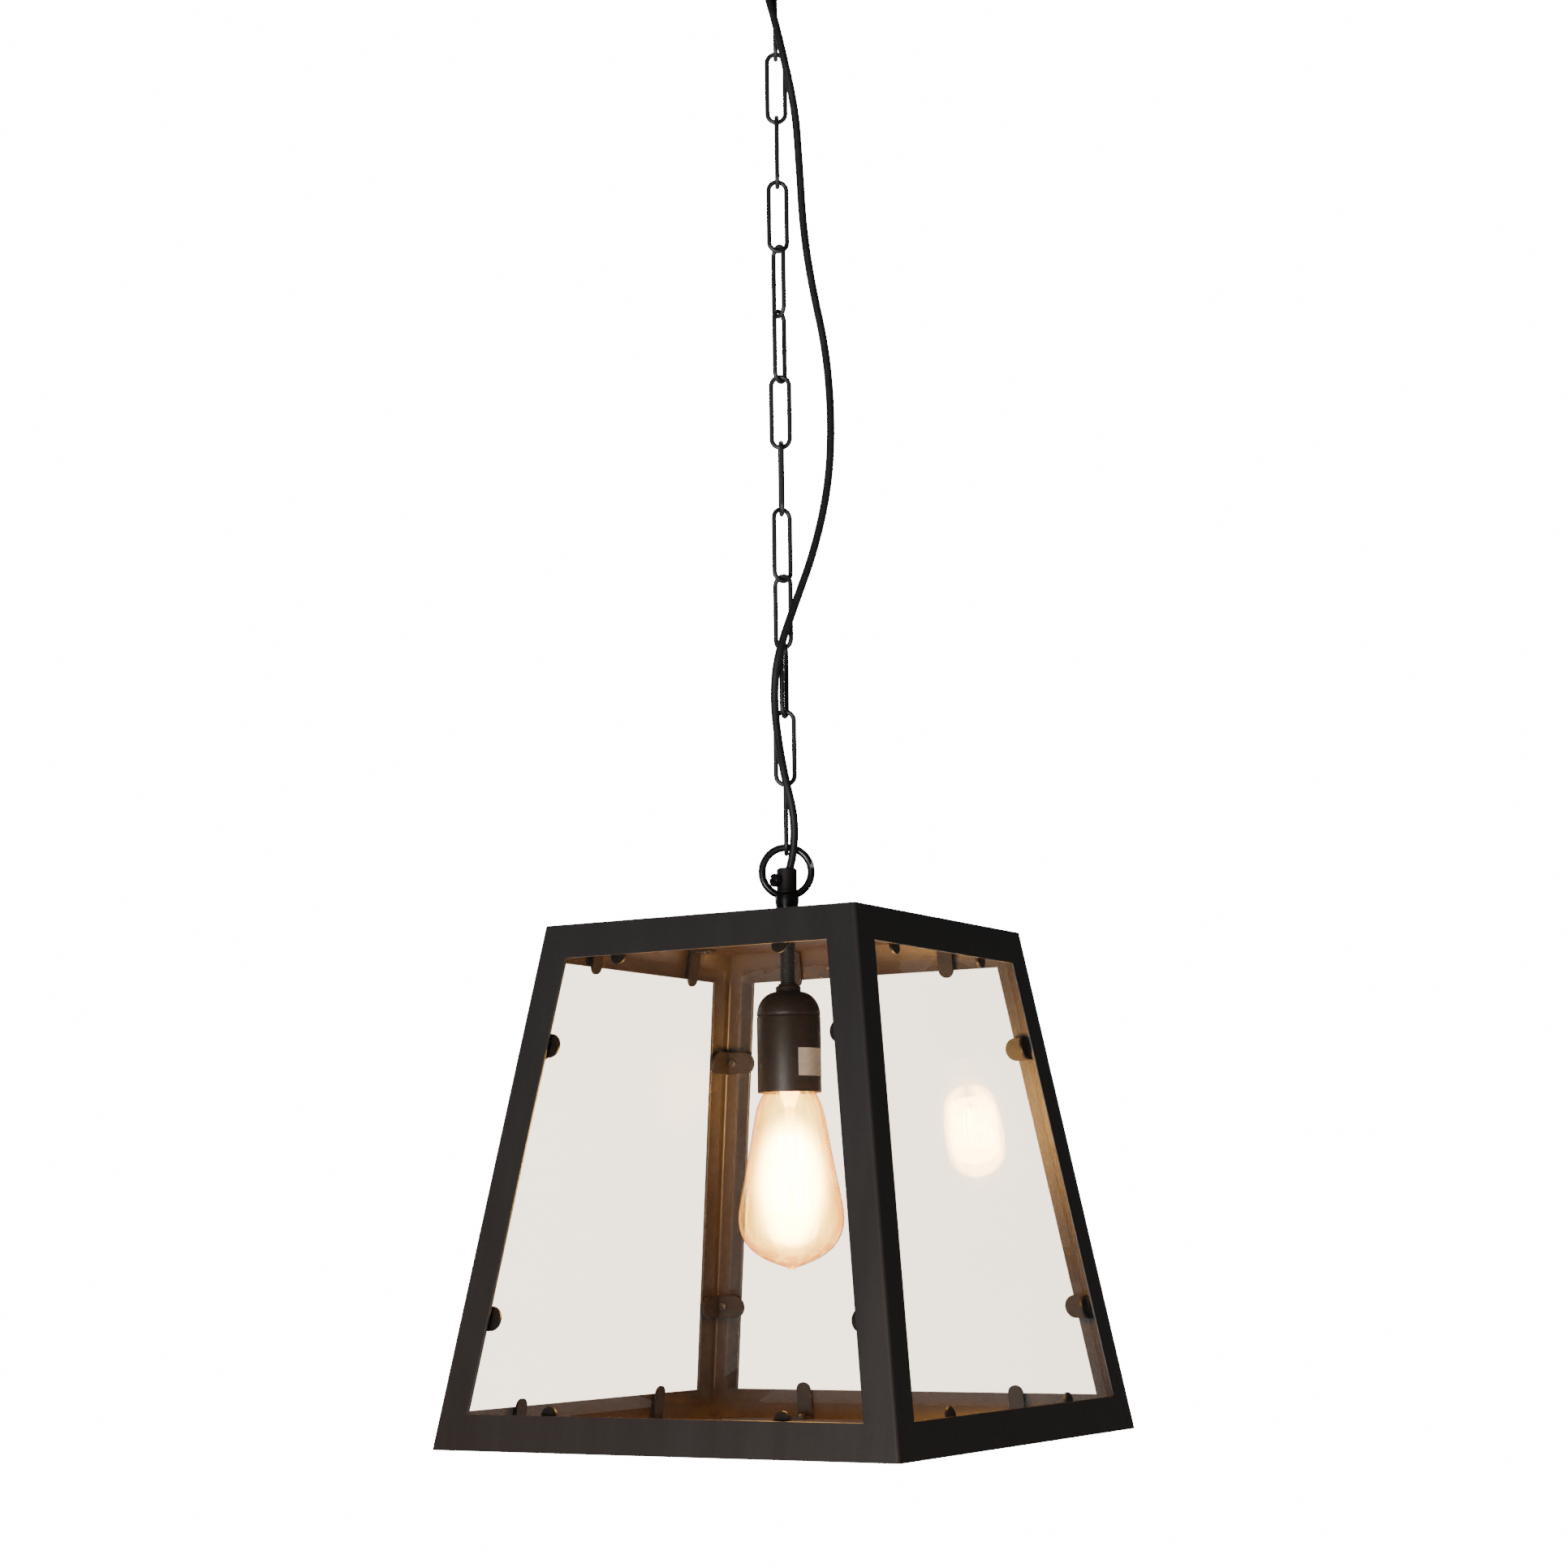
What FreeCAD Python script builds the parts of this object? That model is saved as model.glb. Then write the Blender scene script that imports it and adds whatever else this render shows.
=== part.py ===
import FreeCAD, Part
import math
import os
import re
import Sketcher

# A hanging lantern: a four-sided tapering frame of angle iron with clear panes, one filament bulb, and a
# chain with its cord. All sizes are in millimetres. The origin is on the ceiling over the middle of the
# lantern, +Z is up, and the wide front face looks towards -Y.
SIZES = {
    # Frame
    "frame_h": 300.0, "top_w": 209.0, "bottom_w": 302.0, "rail_w": 20.0, "iron_t": 2.0, "corner_r": 2.0,
    "frame_drop": 670.0,
    # Panes and what holds them
    "pane_t": 3.0, "pane_under": 8.0, "clip_t": 1.5, "clip_half": 7.0, "clip_reach": 18.0, "clip_upper": 71.0,
    "clip_lower": 227.0, "tab_half": 5.0, "tab_share_top": 0.26, "tab_share_bottom": 0.25, "foot_in": 18.0,
    "foot_screw_in": 13.0, "screw_r": 1.5, "head_r": 2.6, "head_t": 1.8, "screw_gap": 0.9,
    # How far the masks for clips and screws reach: out of a face, into it, and into it for screw heads
    "mask_out": 8.0, "mask_in": 14.0, "head_mask_in": 9.0,
    # Chain
    "link_wire": 2.9, "link_arc": 5.6, "link_l": 45.1, "ring_wire": 4.5, "ring_r": 14.85, "ring_up": 35.05,
    "eye_wire": 4.0, "eye_r": 10.0,
    # Hub, grip and thumb screw, heights above the frame's top
    "cable_r": 2.45, "cord_gap": 0.3, "cord_start": 22.0, "bore_r": 3.2, "stem_r": 4.75, "hub_r": 6.0,
    "hub_wide": 7.2, "hub_foot_h": 1.2, "hub_waist": 3.2, "hub_flare": 8.0, "hub_step": 14.0,
    "hub_shoulder": 17.0, "hub_top": 21.9, "hub_bevel": 1.0, "grip_r": 6.1, "grip_lip": 0.6,
    "grip_lip_h": 1.5, "grip_top": 37.2, "grip_bevel": 1.0, "thumb_r": 4.0, "thumb_t": 3.6, "thumb_up": 29.5,
    "thread_gap": 0.05, "stem_nut_r": 8.1, "stem_nut_h": 5.0,
    # Lamp holder, heights below the frame's top
    "neck_r": 7.5, "neck_top": 32.8, "neck_low": 37.7, "cap_low": 52.0, "holder_low": 97.9, "holder_r": 19.1,
    "holder_wall": 2.0, "core_t": 3.0, "core_up": 6.0, "shell_r": 13.1, "shell_t": 0.4, "contact_low": 60.0,
    "contact_r": 4.0, "contact_t": 1.0, "label_top": 72.0, "label_low": 88.5, "label_w": 18.0, "label_t": 0.3,
    # Bulb, heights below the contact's face
    "bulb_r": 32.0, "bulb_low": 142.5, "cap_r": 13.0, "cap_h": 30.0, "cap_t": 0.4, "cap_bevel": 2.0,
    "cap_gap": 0.3, "foot_r": 10.5, "foot_h": 6.0, "foot_step": 4.6, "tip_r": 4.5, "tip_h": 1.6,
    "glass_t": 0.8, "glass_tip_r": 2.2, "mount_top": 24.5, "mount_flange": 1.5, "mount_low": 70.0,
    "mount_r": 2.6, "mount_knob_r": 4.2, "filament_r": 0.3, "filament_up": 63.0, "filament_low": 108.0,
    "filament_up_r": 7.0, "filament_low_r": 10.5,
    # Ceiling fitting, heights below the ceiling
    "canopy_r": 50.0, "canopy_h": 30.0, "canopy_t": 1.5, "canopy_round": 6.0, "strap_l": 88.0,
    "strap_w": 30.0, "strap_t": 2.0, "boss_wall": 3.0, "boss_low": 20.0, "fixing_gap": 60.0,
    "fixing_r": 2.5, "stud_r": 4.0, "stud_top": 12.0, "nut_r": 7.5, "nut_h": 6.0, "gland_r": 4.5,
    "gland_lip": 2.5, "gland_lip_h": 4.0, "gland_up": 4.0, "block_l": 18.0, "block_w": 12.0,
    "block_gap": 4.5, "block_shift": 2.0, "block_pitch": 5.0, "block_hole_r": 1.6, "block_hole_h": 8.0,
}
# The lantern hangs square to the row's axes. The ring, the chain and the cord face this way round instead.
HANG_TURN = 30.29
THUMB_TURN = HANG_TURN + 213
LABEL_TURN = -15
# How far each link is turned about the vertical, the lowest one first.
LINK_TURNS = (-450, -360, -285, -215, -150, -85, -7, 58, 123, 188, 270, 360, 450)
# The cord's corner points: to the right of the chain, in front of it, and above the frame's top.
CORD = (
    (0.0, 0.0, 22.0), (0.3, 0.5, 31.0), (4.7, 5.4, 47.5), (5.2, 8.4, 68.0), (-0.5, 11.0, 92.0),
    (-4.6, 7.2, 118.0), (-6.4, 7.6, 142.0), (-4.1, 10.6, 166.0), (7.0, 7.2, 198.0), (20.0, 2.9, 234.0),
    (29.4, 0.5, 276.0), (31.6, 0.0, 318.0), (28.9, -0.5, 362.0), (20.6, -0.5, 404.0), (15.8, 0.0, 440.0),
    (14.0, 1.5, 480.0), (12.0, 5.2, 516.0), (5.0, 10.2, 550.0), (-0.5, 10.2, 575.0), (-6.0, 8.6, 597.0),
    (-14.0, 4.5, 613.0), (-20.0, 1.0, 628.5), (-20.0, 1.0, 644.5),
)
# Half-width and depth below the contact's face down the bulb's glass, as it is when 64 mm across.
GLASS_SIDE = (
    (12.1, 26.0), (12.3, 30.0), (13.0, 33.2), (16.0, 38.6), (18.6, 43.4), (20.8, 49.5), (23.7, 68.0),
    (27.5, 87.0), (30.7, 103.0), (32.0, 112.5), (29.9, 122.0), (24.6, 130.0), (16.4, 135.6), (7.7, 139.2),
    (0.0, 140.4),
)
FILAMENT_HOOKS = 6
SIDES = (("front", 0), ("right", 90), ("back", 180), ("left", 270))
CORNERS = (("front_right", 1, -1), ("back_right", 1, 1), ("back_left", -1, 1), ("front_left", -1, -1))
TOP = "-frame_drop"
CONTACT = "-frame_drop - contact_low"
OVERCUT = "5"

doc = FreeCAD.newDocument("lantern")
sheet = doc.addObject("Spreadsheet::Sheet", "Sheet")
sheet.Label = "sizes"
for row, (alias, value) in enumerate(SIZES.items(), 1):
    sheet.set(f"A{row}", alias)
    sheet.set(f"B{row}", str(value))
    sheet.setAlias(f"B{row}", alias)
doc.recompute()
NODES = []


def e(text):
    """An expression in the sheet's aliases, with each alias written out in full."""
    return "(" + re.sub(r"[a-z_]+", lambda m: "Sheet." + m[0] if m[0] in SIZES else m[0], str(text)) + ")"


def size(text):
    """The number that an expression stands for."""
    return float(sheet.evalExpression(e(text)))


def place(x="0", y="0", z="0", yaw=0, pitch=0, roll=0):
    """A placement as an expression: three lengths, and turns about Z, Y and X."""
    turns = f"create(<<rotation>>; {yaw}; {pitch}; {roll})"
    return f"create(<<placement>>; create(<<vector>>; {e(x)}; {e(y)}; {e(z)}); {turns})"


def at(piece, *places, **turns):
    """Places a piece in the row frame."""
    piece.setExpression("Placement", place(*places, **turns))
    return piece


def on_side(piece, turn, x, y, z, **turns):
    """Places a piece in the frame of one side, which is the front's turned about the vertical."""
    piece.setExpression("Placement", place(yaw=turn) + " * " + place(x, y, z, **turns))
    return piece


def keep(piece, label):
    """Marks a piece as one of the object's own."""
    piece.Label = label
    NODES.append(piece)
    return piece


def add(kind, label, **sizes):
    piece = doc.addObject(kind, label)
    piece.Label = label
    for name, text in sizes.items():
        piece.setExpression(name, e(text))
    return piece


def blank_box(label, x, y, z):
    lengths = [f"{high} - ({low})" for low, high in (x, y, z)]
    return add("Part::Box", label, Length=lengths[0], Width=lengths[1], Height=lengths[2])


def box(label, x, y, z):
    """A block between two expressions along each axis."""
    return at(blank_box(label, x, y, z), x[0], y[0], z[0])


def side_box(label, x, y, z, turn):
    """A block between two expressions along each axis of one side."""
    return on_side(blank_box(label, x, y, z), turn, x[0], y[0], z[0])


def rod(label, radius, low, high, x="0", y="0"):
    """An upright cylinder between two heights."""
    return at(add("Part::Cylinder", label, Radius=radius, Height=f"{high} - ({low})"), x, y, low)


def nut(label, radius, low, height, bore):
    """A six-sided nut, its lower face at a height."""
    blank = add("Part::Prism", label + "_blank", Circumradius=radius, Height=height)
    blank.Polygon = 6
    at(blank, z=low)
    hole = rod(label + "_bore", bore, f"{low} - {OVERCUT}", f"{low} + {height} + {OVERCUT}")
    return keep(cut(label, blank, hole), label)


def fuse(label, pieces):
    piece = doc.addObject("Part::MultiFuse", label)
    piece.Shapes = pieces
    piece.Label = label
    return piece


def pair(kind, label, base, tool):
    piece = doc.addObject(kind, label)
    piece.Base = base
    piece.Tool = tool
    piece.Label = label
    return piece


def common(label, base, tool):
    return pair("Part::Common", label, base, tool)


def cut(label, base, tool):
    return pair("Part::Cut", label, base, tool)


def turned(label, points, z):
    """A body turned about its own upright axis from corner points (radius, height)."""
    body = doc.addObject("PartDesign::Body", label)
    body.Label = label
    sketch = body.newObject("Sketcher::SketchObject", label + "_profile")
    for plane in body.Origin.OriginFeatures:
        if plane.Role == "XZ_Plane":
            sketch.AttachmentSupport = (plane, [""])
    sketch.MapMode = "FlatFace"
    flat = [FreeCAD.Vector(size(r), size(h), 0) for r, h in points]
    for start, end in zip(flat, flat[1:] + flat[:1]):
        sketch.addGeometry(Part.LineSegment(start, end), False)
    for i in range(len(flat)):
        sketch.addConstraint(Sketcher.Constraint("Coincident", i, 2, (i + 1) % len(flat), 1))
    for i, (radius, height) in enumerate(points):
        if flat[i].x == 0:
            sketch.addConstraint(Sketcher.Constraint("PointOnObject", i, 1, -2))
        else:
            number = sketch.addConstraint(Sketcher.Constraint("DistanceX", -1, 1, i, 1, flat[i].x))
            sketch.setExpression(f"Constraints[{number}]", e(radius))
        number = sketch.addConstraint(Sketcher.Constraint("DistanceY", -1, 1, i, 1, flat[i].y))
        sketch.setExpression(f"Constraints[{number}]", e(height))
    spun = body.newObject("PartDesign::Revolution", label + "_turned")
    spun.Profile = sketch
    spun.ReferenceAxis = (sketch, ["V_Axis"])
    spun.Angle = 360
    body.Tip = spun
    return at(body, z=z)


def half(depth, inset="0"):
    """Half the frame's width at a depth below its top, less an inset from the outer face."""
    return f"((top_w + (bottom_w - top_w) * ({depth}) / frame_h) / 2 - ({inset}))"


def taper(label, high, low, x_of, y_of):
    """A block with slanting sides between two depths: x_of and y_of give its limits at a depth."""
    top_x, top_y, low_x, low_y = x_of(high), y_of(high), x_of(low), y_of(low)
    return add(
        "Part::Wedge", label, Ymin=f"-({low})", Ymax=f"-({high})", Xmin=low_x[0], Xmax=low_x[1],
        Zmin=f"-({low_y[1]})", Zmax=f"-({low_y[0]})", X2min=top_x[0], X2max=top_x[1],
        Z2min=f"-({top_y[1]})", Z2max=f"-({top_y[0]})",
    )


def block(label, inset, high, low):
    """The frame's whole tapering body, inset all round."""

    def limits(depth):
        return ("-" + half(depth, inset), half(depth, inset))

    return at(taper(label, high, low, limits, limits), z=TOP, roll=90)


def shell(label, outside, inside):
    """A skin that follows the frame's sides between two insets, from flange to flange."""
    high, low = "iron_t", "frame_h - iron_t"
    return cut(label, block(label + "_out", outside, high, low), block(label + "_in", inside, high, low))


# Frame: one tapering skin of angle iron, rounded a little at its corners, then cut into its bars.
outer = block("outer_block", "0", "0", "frame_h")
doc.recompute()
rounded = doc.addObject("Part::Fillet", "outer_rounded")
rounded.Base = outer
rounded.Edges = [
    (number, size("corner_r"), size("corner_r"))
    for number, edge in enumerate(outer.Shape.Edges, 1)
    if abs(edge.Vertexes[0].Z - edge.Vertexes[1].Z) > size("frame_h") / 2
]
skin = cut("frame_skin", rounded, block("inner_block", "iron_t", "iron_t", "frame_h - iron_t"))
QUARTER = {"Length": "bottom_w", "Width": "bottom_w", "Height": "frame_h * 2"}


def rails(name, high, low, width):
    """Cuts the skin down to one level, opens its flat flange, and mitres the rest into four rails."""
    top, bottom = f"{TOP} - ({high})", f"{TOP} - ({low})"
    opening = f"{width} / 2 - rail_w"
    level = box(name + "_level", ("-bottom_w", "bottom_w"), ("-bottom_w", "bottom_w"), (bottom, top))
    across = (f"-({opening})", opening)
    way = box(name + "_way", across, across, (f"{bottom} - {OVERCUT}", f"{top} + {OVERCUT}"))
    ring = common(name + "_ring", skin, cut(name + "_band", level, way))
    for side, turn in SIDES:
        quarter = add("Part::Box", f"{name}_mitre_{side}", **QUARTER)
        at(quarter, z=TOP + " - frame_h * 1.5", yaw=turn - 135)
        keep(common(f"{name}_{side}", ring, quarter), f"{name}_{side}")


rails("top_rail", "0", "rail_w", "top_w")
rails("bottom_rail", "frame_h - rail_w", "frame_h", "bottom_w")


def post(name, x_sign, y_sign):
    def limits(sign):
        def at_depth(depth):
            near, far = half(depth, "rail_w"), half(depth, "-rail_w")
            return (near, far) if sign > 0 else ("-" + far, "-" + near)

        return at_depth

    column = taper(f"column_{name}", "rail_w", "frame_h - rail_w", limits(x_sign), limits(y_sign))
    at(column, z=TOP, roll=90)
    keep(common(f"post_{name}", skin, column), f"post_{name}")


for name, x_sign, y_sign in CORNERS:
    post(name, x_sign, y_sign)

inside = ("rail_w - top_w / 2", "top_w / 2 - rail_w")
plate = box("plate_blank", inside, inside, (f"{TOP} - iron_t", TOP))
plate_hole = rod("plate_hole", "stem_r", f"{TOP} - iron_t - {OVERCUT}", f"{TOP} + {OVERCUT}")
keep(cut("top_plate", plate, plate_hole), "top_plate")

# Panes: each is a tapering sheet behind its flanges.
for side, turn in SIDES:
    pane = taper(
        f"glass_{side}", "rail_w - pane_under", "frame_h - rail_w + pane_under",
        lambda d: ("-" + half(d, "rail_w - pane_under"), half(d, "rail_w - pane_under")),
        lambda d: ("-" + half(d, "iron_t"), "-" + half(d, "iron_t + pane_t")),
    )
    keep(at(pane, z=TOP, yaw=turn, roll=90), f"glass_{side}")

# Clips: thin skins behind the panes, cut to rounded lugs. Their screws stand beside the panes.
BEHIND = "iron_t + pane_t"
clip_skin = shell("clip_skin", BEHIND, BEHIND + " + clip_t")
foot_skin = shell("foot_skin", BEHIND, "foot_in")
shaft_skin = shell("shaft_skin", "iron_t", BEHIND + " + clip_t")
head_skin = shell("head_skin", BEHIND + " + clip_t", BEHIND + " + clip_t + head_t")


def side_rod(label, radius, x, depth, turn, inwards):
    """A level rod through one side, from outside its face to a depth inwards."""
    piece = add("Part::Cylinder", label, Radius=radius, Height=f"{inwards} + mask_out")
    return on_side(piece, turn, x, "-" + half(depth, "-mask_out"), f"{TOP} - ({depth})", roll=-90)


def both_ends(side_names):
    """Every side with both its ends, as the name of that end and the sign of x there."""
    for side, turn in side_names:
        for end, sign in (("a", -1), ("b", 1)):
            yield f"{side}_{end}", turn, sign


side_shafts, side_heads, foot_screws = [], [], []


def corner_clips(level, depth):
    """Clips that bridge the frame's corners, each held by one screw beside the pane."""
    lugs, holes = [], []
    for name, turn, sign in both_ends(SIDES):
        name = f"clip_{level}_{name}"
        middle, corner = half(depth, "clip_reach"), half(depth, "-clip_t")
        limits = (middle, corner) if sign > 0 else ("-" + corner, "-" + middle)
        deep = ("-" + half(depth, "-mask_out"), "-" + half(depth, "mask_in"))
        tall = (f"{TOP} - {depth} - clip_half", f"{TOP} - {depth} + clip_half")
        lugs.append(side_rod(name + "_round", "clip_half", f"{sign} * {middle}", depth, turn, "mask_in"))
        lugs.append(side_box(name + "_arm", limits, deep, tall, turn))
        if sign > 0:
            spot = half(depth, "rail_w - pane_under - screw_r - screw_gap")
            holes.append(side_rod(name + "_hole", "screw_r", spot, depth, turn, "mask_in"))
            side_heads.append(side_rod(name + "_head", "head_r", spot, depth, turn, "head_mask_in"))
    side_shafts.extend(holes)
    blank = common(f"corner_clips_{level}_blank", clip_skin, fuse(f"corner_masks_{level}", lugs))
    keep(cut(f"corner_clips_{level}", blank, fuse(f"corner_holes_{level}", holes)), f"corner_clips_{level}")


def rail_clips(level, edge, share, width, flange, up):
    """Clips on a rail's flange: a rounded leg over the pane's edge and a foot along the flange."""

    def between(low, high):
        return (low, high) if up > 0 else (high, low)

    lugs, feet, holes = [], [], []
    for name, turn, sign in both_ends(SIDES):
        name = f"tab_{level}_{name}"
        middle = f"{sign} * {share} * {width}"
        limits = (f"{middle} - tab_half", f"{middle} + tab_half")
        near, far = f"{TOP} - {flange}", f"{TOP} - {edge}"
        foot = f"{near} + {up} * clip_t"
        head = f"{foot} + {up} * head_t"
        deep = ("-" + half(edge, "-mask_out"), "-" + half(edge, "mask_in"))
        lugs.append(side_rod(name + "_round", "tab_half", middle, edge, turn, "mask_in"))
        lugs.append(side_box(name + "_leg", limits, deep, between(near, far), turn))
        deep = ("-" + half(flange), "-" + half(flange, "foot_in + clip_t"))
        feet.append(side_box(name + "_foot", limits, deep, between(near, foot), turn))
        for part, radius, ends in (("shaft", "screw_r", (near, foot)), ("head", "head_r", (foot, head))):
            low, high = between(*ends)
            piece = add("Part::Cylinder", f"{name}_{part}", Radius=radius, Height=f"{high} - ({low})")
            on_side(piece, turn, middle, "-" + half(flange, "foot_screw_in"), low)
            foot_screws.append(piece)
            if part == "shaft":
                holes.append(piece)
    tabs = common(f"{level}_tabs", clip_skin, fuse(f"{level}_tab_masks", lugs))
    bases = common(f"{level}_feet", foot_skin, fuse(f"{level}_foot_masks", feet))
    both = fuse(f"{level}_rail_clips_blank", [tabs, bases])
    keep(cut(f"{level}_rail_clips", both, fuse(f"{level}_tab_holes", holes)), f"{level}_rail_clips")


corner_clips("upper", "clip_upper")
corner_clips("lower", "clip_lower")
rail_clips("top", "rail_w", "tab_share_top", "top_w", "iron_t", -1)
rail_clips("bottom", "(frame_h - rail_w)", "tab_share_bottom", "bottom_w", "(frame_h - iron_t)", 1)
shafts = common("side_shafts", shaft_skin, fuse("side_shaft_rods", side_shafts))
heads = common("side_heads", head_skin, fuse("side_head_rods", side_heads))
keep(fuse("clip_screws", [shafts, heads, *foot_screws]), "clip_screws")

# Chain: thirteen welded links, each hanging on the one above.
PITCH = "(link_l - link_wire)"
LOWEST = "(ring_up + ring_r - (ring_wire + link_wire) / 2)"


def chain_link(number, turn):
    name = f"chain_link_{number:02d}"
    bends = []
    for end, roll, height in (("top", 90, "link_l - link_arc"), ("bottom", -90, "link_arc")):
        bend = add("Part::Torus", f"{name}_{end}", Radius1="link_arc", Radius2="link_wire / 2")
        bend.Angle3 = 180
        bends.append(at(bend, z=height, roll=roll))
    for end, x in (("left", "-link_arc"), ("right", "link_arc")):
        bends.append(rod(f"{name}_{end}", "link_wire / 2", "link_arc", "link_l - link_arc", x))
    link = fuse(name, bends)
    at(link, z=f"{TOP} + {LOWEST} + {number - 1} * {PITCH}", yaw=HANG_TURN + turn)
    keep(link, name)


for number, turn in enumerate(LINK_TURNS, 1):
    chain_link(number, turn)

# Ceiling fitting: the hook with its stud, the nut that clamps the canopy, and the strap it screws into.
CHAIN_TOP = f"({LOWEST} + {len(LINK_TURNS) - 1} * {PITCH} + link_l)"
EYE = f"{TOP} + {CHAIN_TOP} - (link_wire + eye_wire) / 2 + eye_r"
eye = add("Part::Torus", "hook_eye", Radius1="eye_r", Radius2="eye_wire / 2")
at(eye, z=EYE, roll=90, yaw=HANG_TURN)
keep(fuse("hook", [eye, rod("hook_stud", "stud_r", EYE + " + eye_r", "-stud_top")]), "hook")
nut("hook_nut", "nut_r", "-canopy_h - nut_h", "nut_h", "stud_r")

strap_x, strap_y = ("-strap_l / 2", "strap_l / 2"), ("-strap_w / 2", "strap_w / 2")
strap = box("strap_blank", strap_x, strap_y, ("-strap_t", "0"))
fixings = [
    rod(f"strap_hole_{end}", "fixing_r", f"-strap_t - {OVERCUT}", OVERCUT, x)
    for end, x in (("a", "-fixing_gap / 2"), ("b", "fixing_gap / 2"))
]
boss = cut(
    "boss", rod("boss_blank", "stud_r + boss_wall", "-boss_low", "-strap_t"),
    rod("boss_bore", "stud_r", f"-boss_low - {OVERCUT}", "-stud_top"),
)
keep(fuse("ceiling_strap", [cut("strap", strap, fuse("strap_holes", fixings)), boss]), "ceiling_strap")

gland = CORD[-1]
hang = math.radians(HANG_TURN)
gland_x = str(gland[0] * math.cos(hang) + gland[1] * math.sin(hang))
gland_y = str(gland[0] * math.sin(hang) - gland[1] * math.cos(hang))


def rounded_rim(inset):
    """The rounded rim of the canopy's cup, inset from its outer face, from the flat to the side."""
    radius = f"(canopy_round - {inset})"
    return [
        (f"canopy_r - canopy_round + {radius} * sin({a})", f"canopy_round - canopy_h - {radius} * cos({a})")
        for a in (0, 22.5, 45, 67.5, 90)
    ]


canopy = turned("canopy_cup", [
    ("0", "-canopy_h"), *rounded_rim("0"), ("canopy_r", "0"), ("canopy_r - canopy_t", "0"),
    *reversed(rounded_rim("canopy_t")), ("0", "-canopy_h + canopy_t"),
], "0")
low, high = f"-canopy_h - {OVERCUT}", f"-canopy_h + {OVERCUT}"
ways = fuse("canopy_ways", [
    rod("canopy_stud_way", "stud_r", low, high),
    rod("canopy_gland_way", "gland_r", low, high, gland_x, gland_y),
])
keep(cut("canopy", canopy, ways), "canopy")

# Gland: a flanged sleeve through the canopy, with the cord's end in it. The terminal block is above it.
sleeve = fuse("gland_blank", [
    rod("gland_flange", "gland_r + gland_lip", "-canopy_h - gland_lip_h", "-canopy_h", gland_x, gland_y),
    rod("gland_neck", "gland_r", "-canopy_h", "-canopy_h + gland_up", gland_x, gland_y),
])
bore = rod("gland_bore", "cable_r", f"{low} - gland_lip_h", f"{high} + gland_up", gland_x, gland_y)
keep(cut("cord_gland", sleeve, bore), "cord_gland")
block_x = (f"{gland_x} - block_shift - block_l / 2", f"{gland_x} - block_shift + block_l / 2")
block_y = (f"{gland_y} + block_shift - block_w / 2", f"{gland_y} + block_shift + block_w / 2")
base = box("block_blank", block_x, block_y, ("-canopy_h + block_gap", "-strap_t"))
holes = [
    rod(
        f"block_hole_{i}", "block_hole_r", "-canopy_h", "-canopy_h + block_gap + block_hole_h",
        f"{gland_x} - block_shift + {i} * block_pitch", f"{gland_y} + block_shift",
    )
    for i in (-1, 0, 1)
]
keep(cut("terminal_block", base, fuse("block_holes", holes)), "terminal_block")


def cord_shape(radius):
    """A tube along the cord's route: straight runs joined by tangent arcs."""
    points = []
    for right, near, up in CORD:
        x = right * math.cos(hang) + near * math.sin(hang)
        y = right * math.sin(hang) - near * math.cos(hang)
        points.append(FreeCAD.Vector(x, y, up - size("frame_drop")))
    edges, start, radii = [], points[0], []
    for before, corner, after in zip(points, points[1:], points[2:]):
        back, ahead = before - corner, after - corner
        reach = 0.45 * min(back.Length, ahead.Length)
        back.normalize()
        ahead.normalize()
        turning = math.pi - back.getAngle(ahead)
        radii.append(reach / math.tan(turning / 2))
        apex = corner + (back + ahead).normalize() * (radii[-1] * (1 / math.cos(turning / 2) - 1))
        edges.append(Part.LineSegment(start, corner + back * reach).toShape())
        edges.append(Part.Arc(corner + back * reach, apex, corner + ahead * reach).toShape())
        start = corner + ahead * reach
    edges.append(Part.LineSegment(start, points[-1]).toShape())
    path = Part.Wire(edges)
    section = Part.Wire([Part.Circle(points[0], (points[1] - points[0]).normalize(), radius).toShape()])
    tube = path.makePipeShell([section], True, False)
    print("cord radii", [round(r, 1) for r in radii], "length", round(path.Length, 1))
    filled = math.pi * radius**2 * path.Length
    print("cord volume", round(tube.Volume, 1), "section times length", round(filled, 1))
    return tube


# Cord: from the grip to the gland, and the rest of it through the stem down to the holder's core.
cord = doc.addObject("Part::Feature", "supply_cord")
cord.Shape = cord_shape(size("cable_r"))
keep(cord, "supply_cord")
inner = rod("cord_in_stem", "cable_r", f"{CONTACT} + core_t + contact_t", f"{TOP} + cord_start - cord_gap")
keep(inner, "cord_in_stem")

# Loop hub: a ring on a flared foot. Through it run the stem and the cord.
hub = turned("hub_foot", [
    ("stem_r", "0"), ("hub_wide", "0"), ("hub_wide", "hub_foot_h"), ("hub_r", "hub_waist"),
    ("hub_r", "hub_flare"), ("hub_wide", "hub_shoulder"), ("hub_wide", "hub_top - hub_bevel"),
    ("hub_wide - hub_bevel", "hub_top"), ("bore_r", "hub_top"), ("bore_r", "hub_step"),
    ("stem_r", "hub_step"),
], TOP)
ring = add("Part::Torus", "hub_ring_blank", Radius1="ring_r", Radius2="ring_wire / 2")
at(ring, z=TOP + " + ring_up", yaw=HANG_TURN, roll=90)
ring_ways = fuse("ring_ways", [
    rod("ring_way_low", "hub_r", f"{TOP} + hub_step", f"{TOP} + hub_top"),
    rod("ring_way_high", "grip_r + grip_lip + thread_gap", f"{TOP} + hub_top", f"{TOP} + ring_up"),
])
keep(fuse("loop_hub", [hub, cut("hub_ring", ring, ring_ways)]), "loop_hub")

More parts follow.
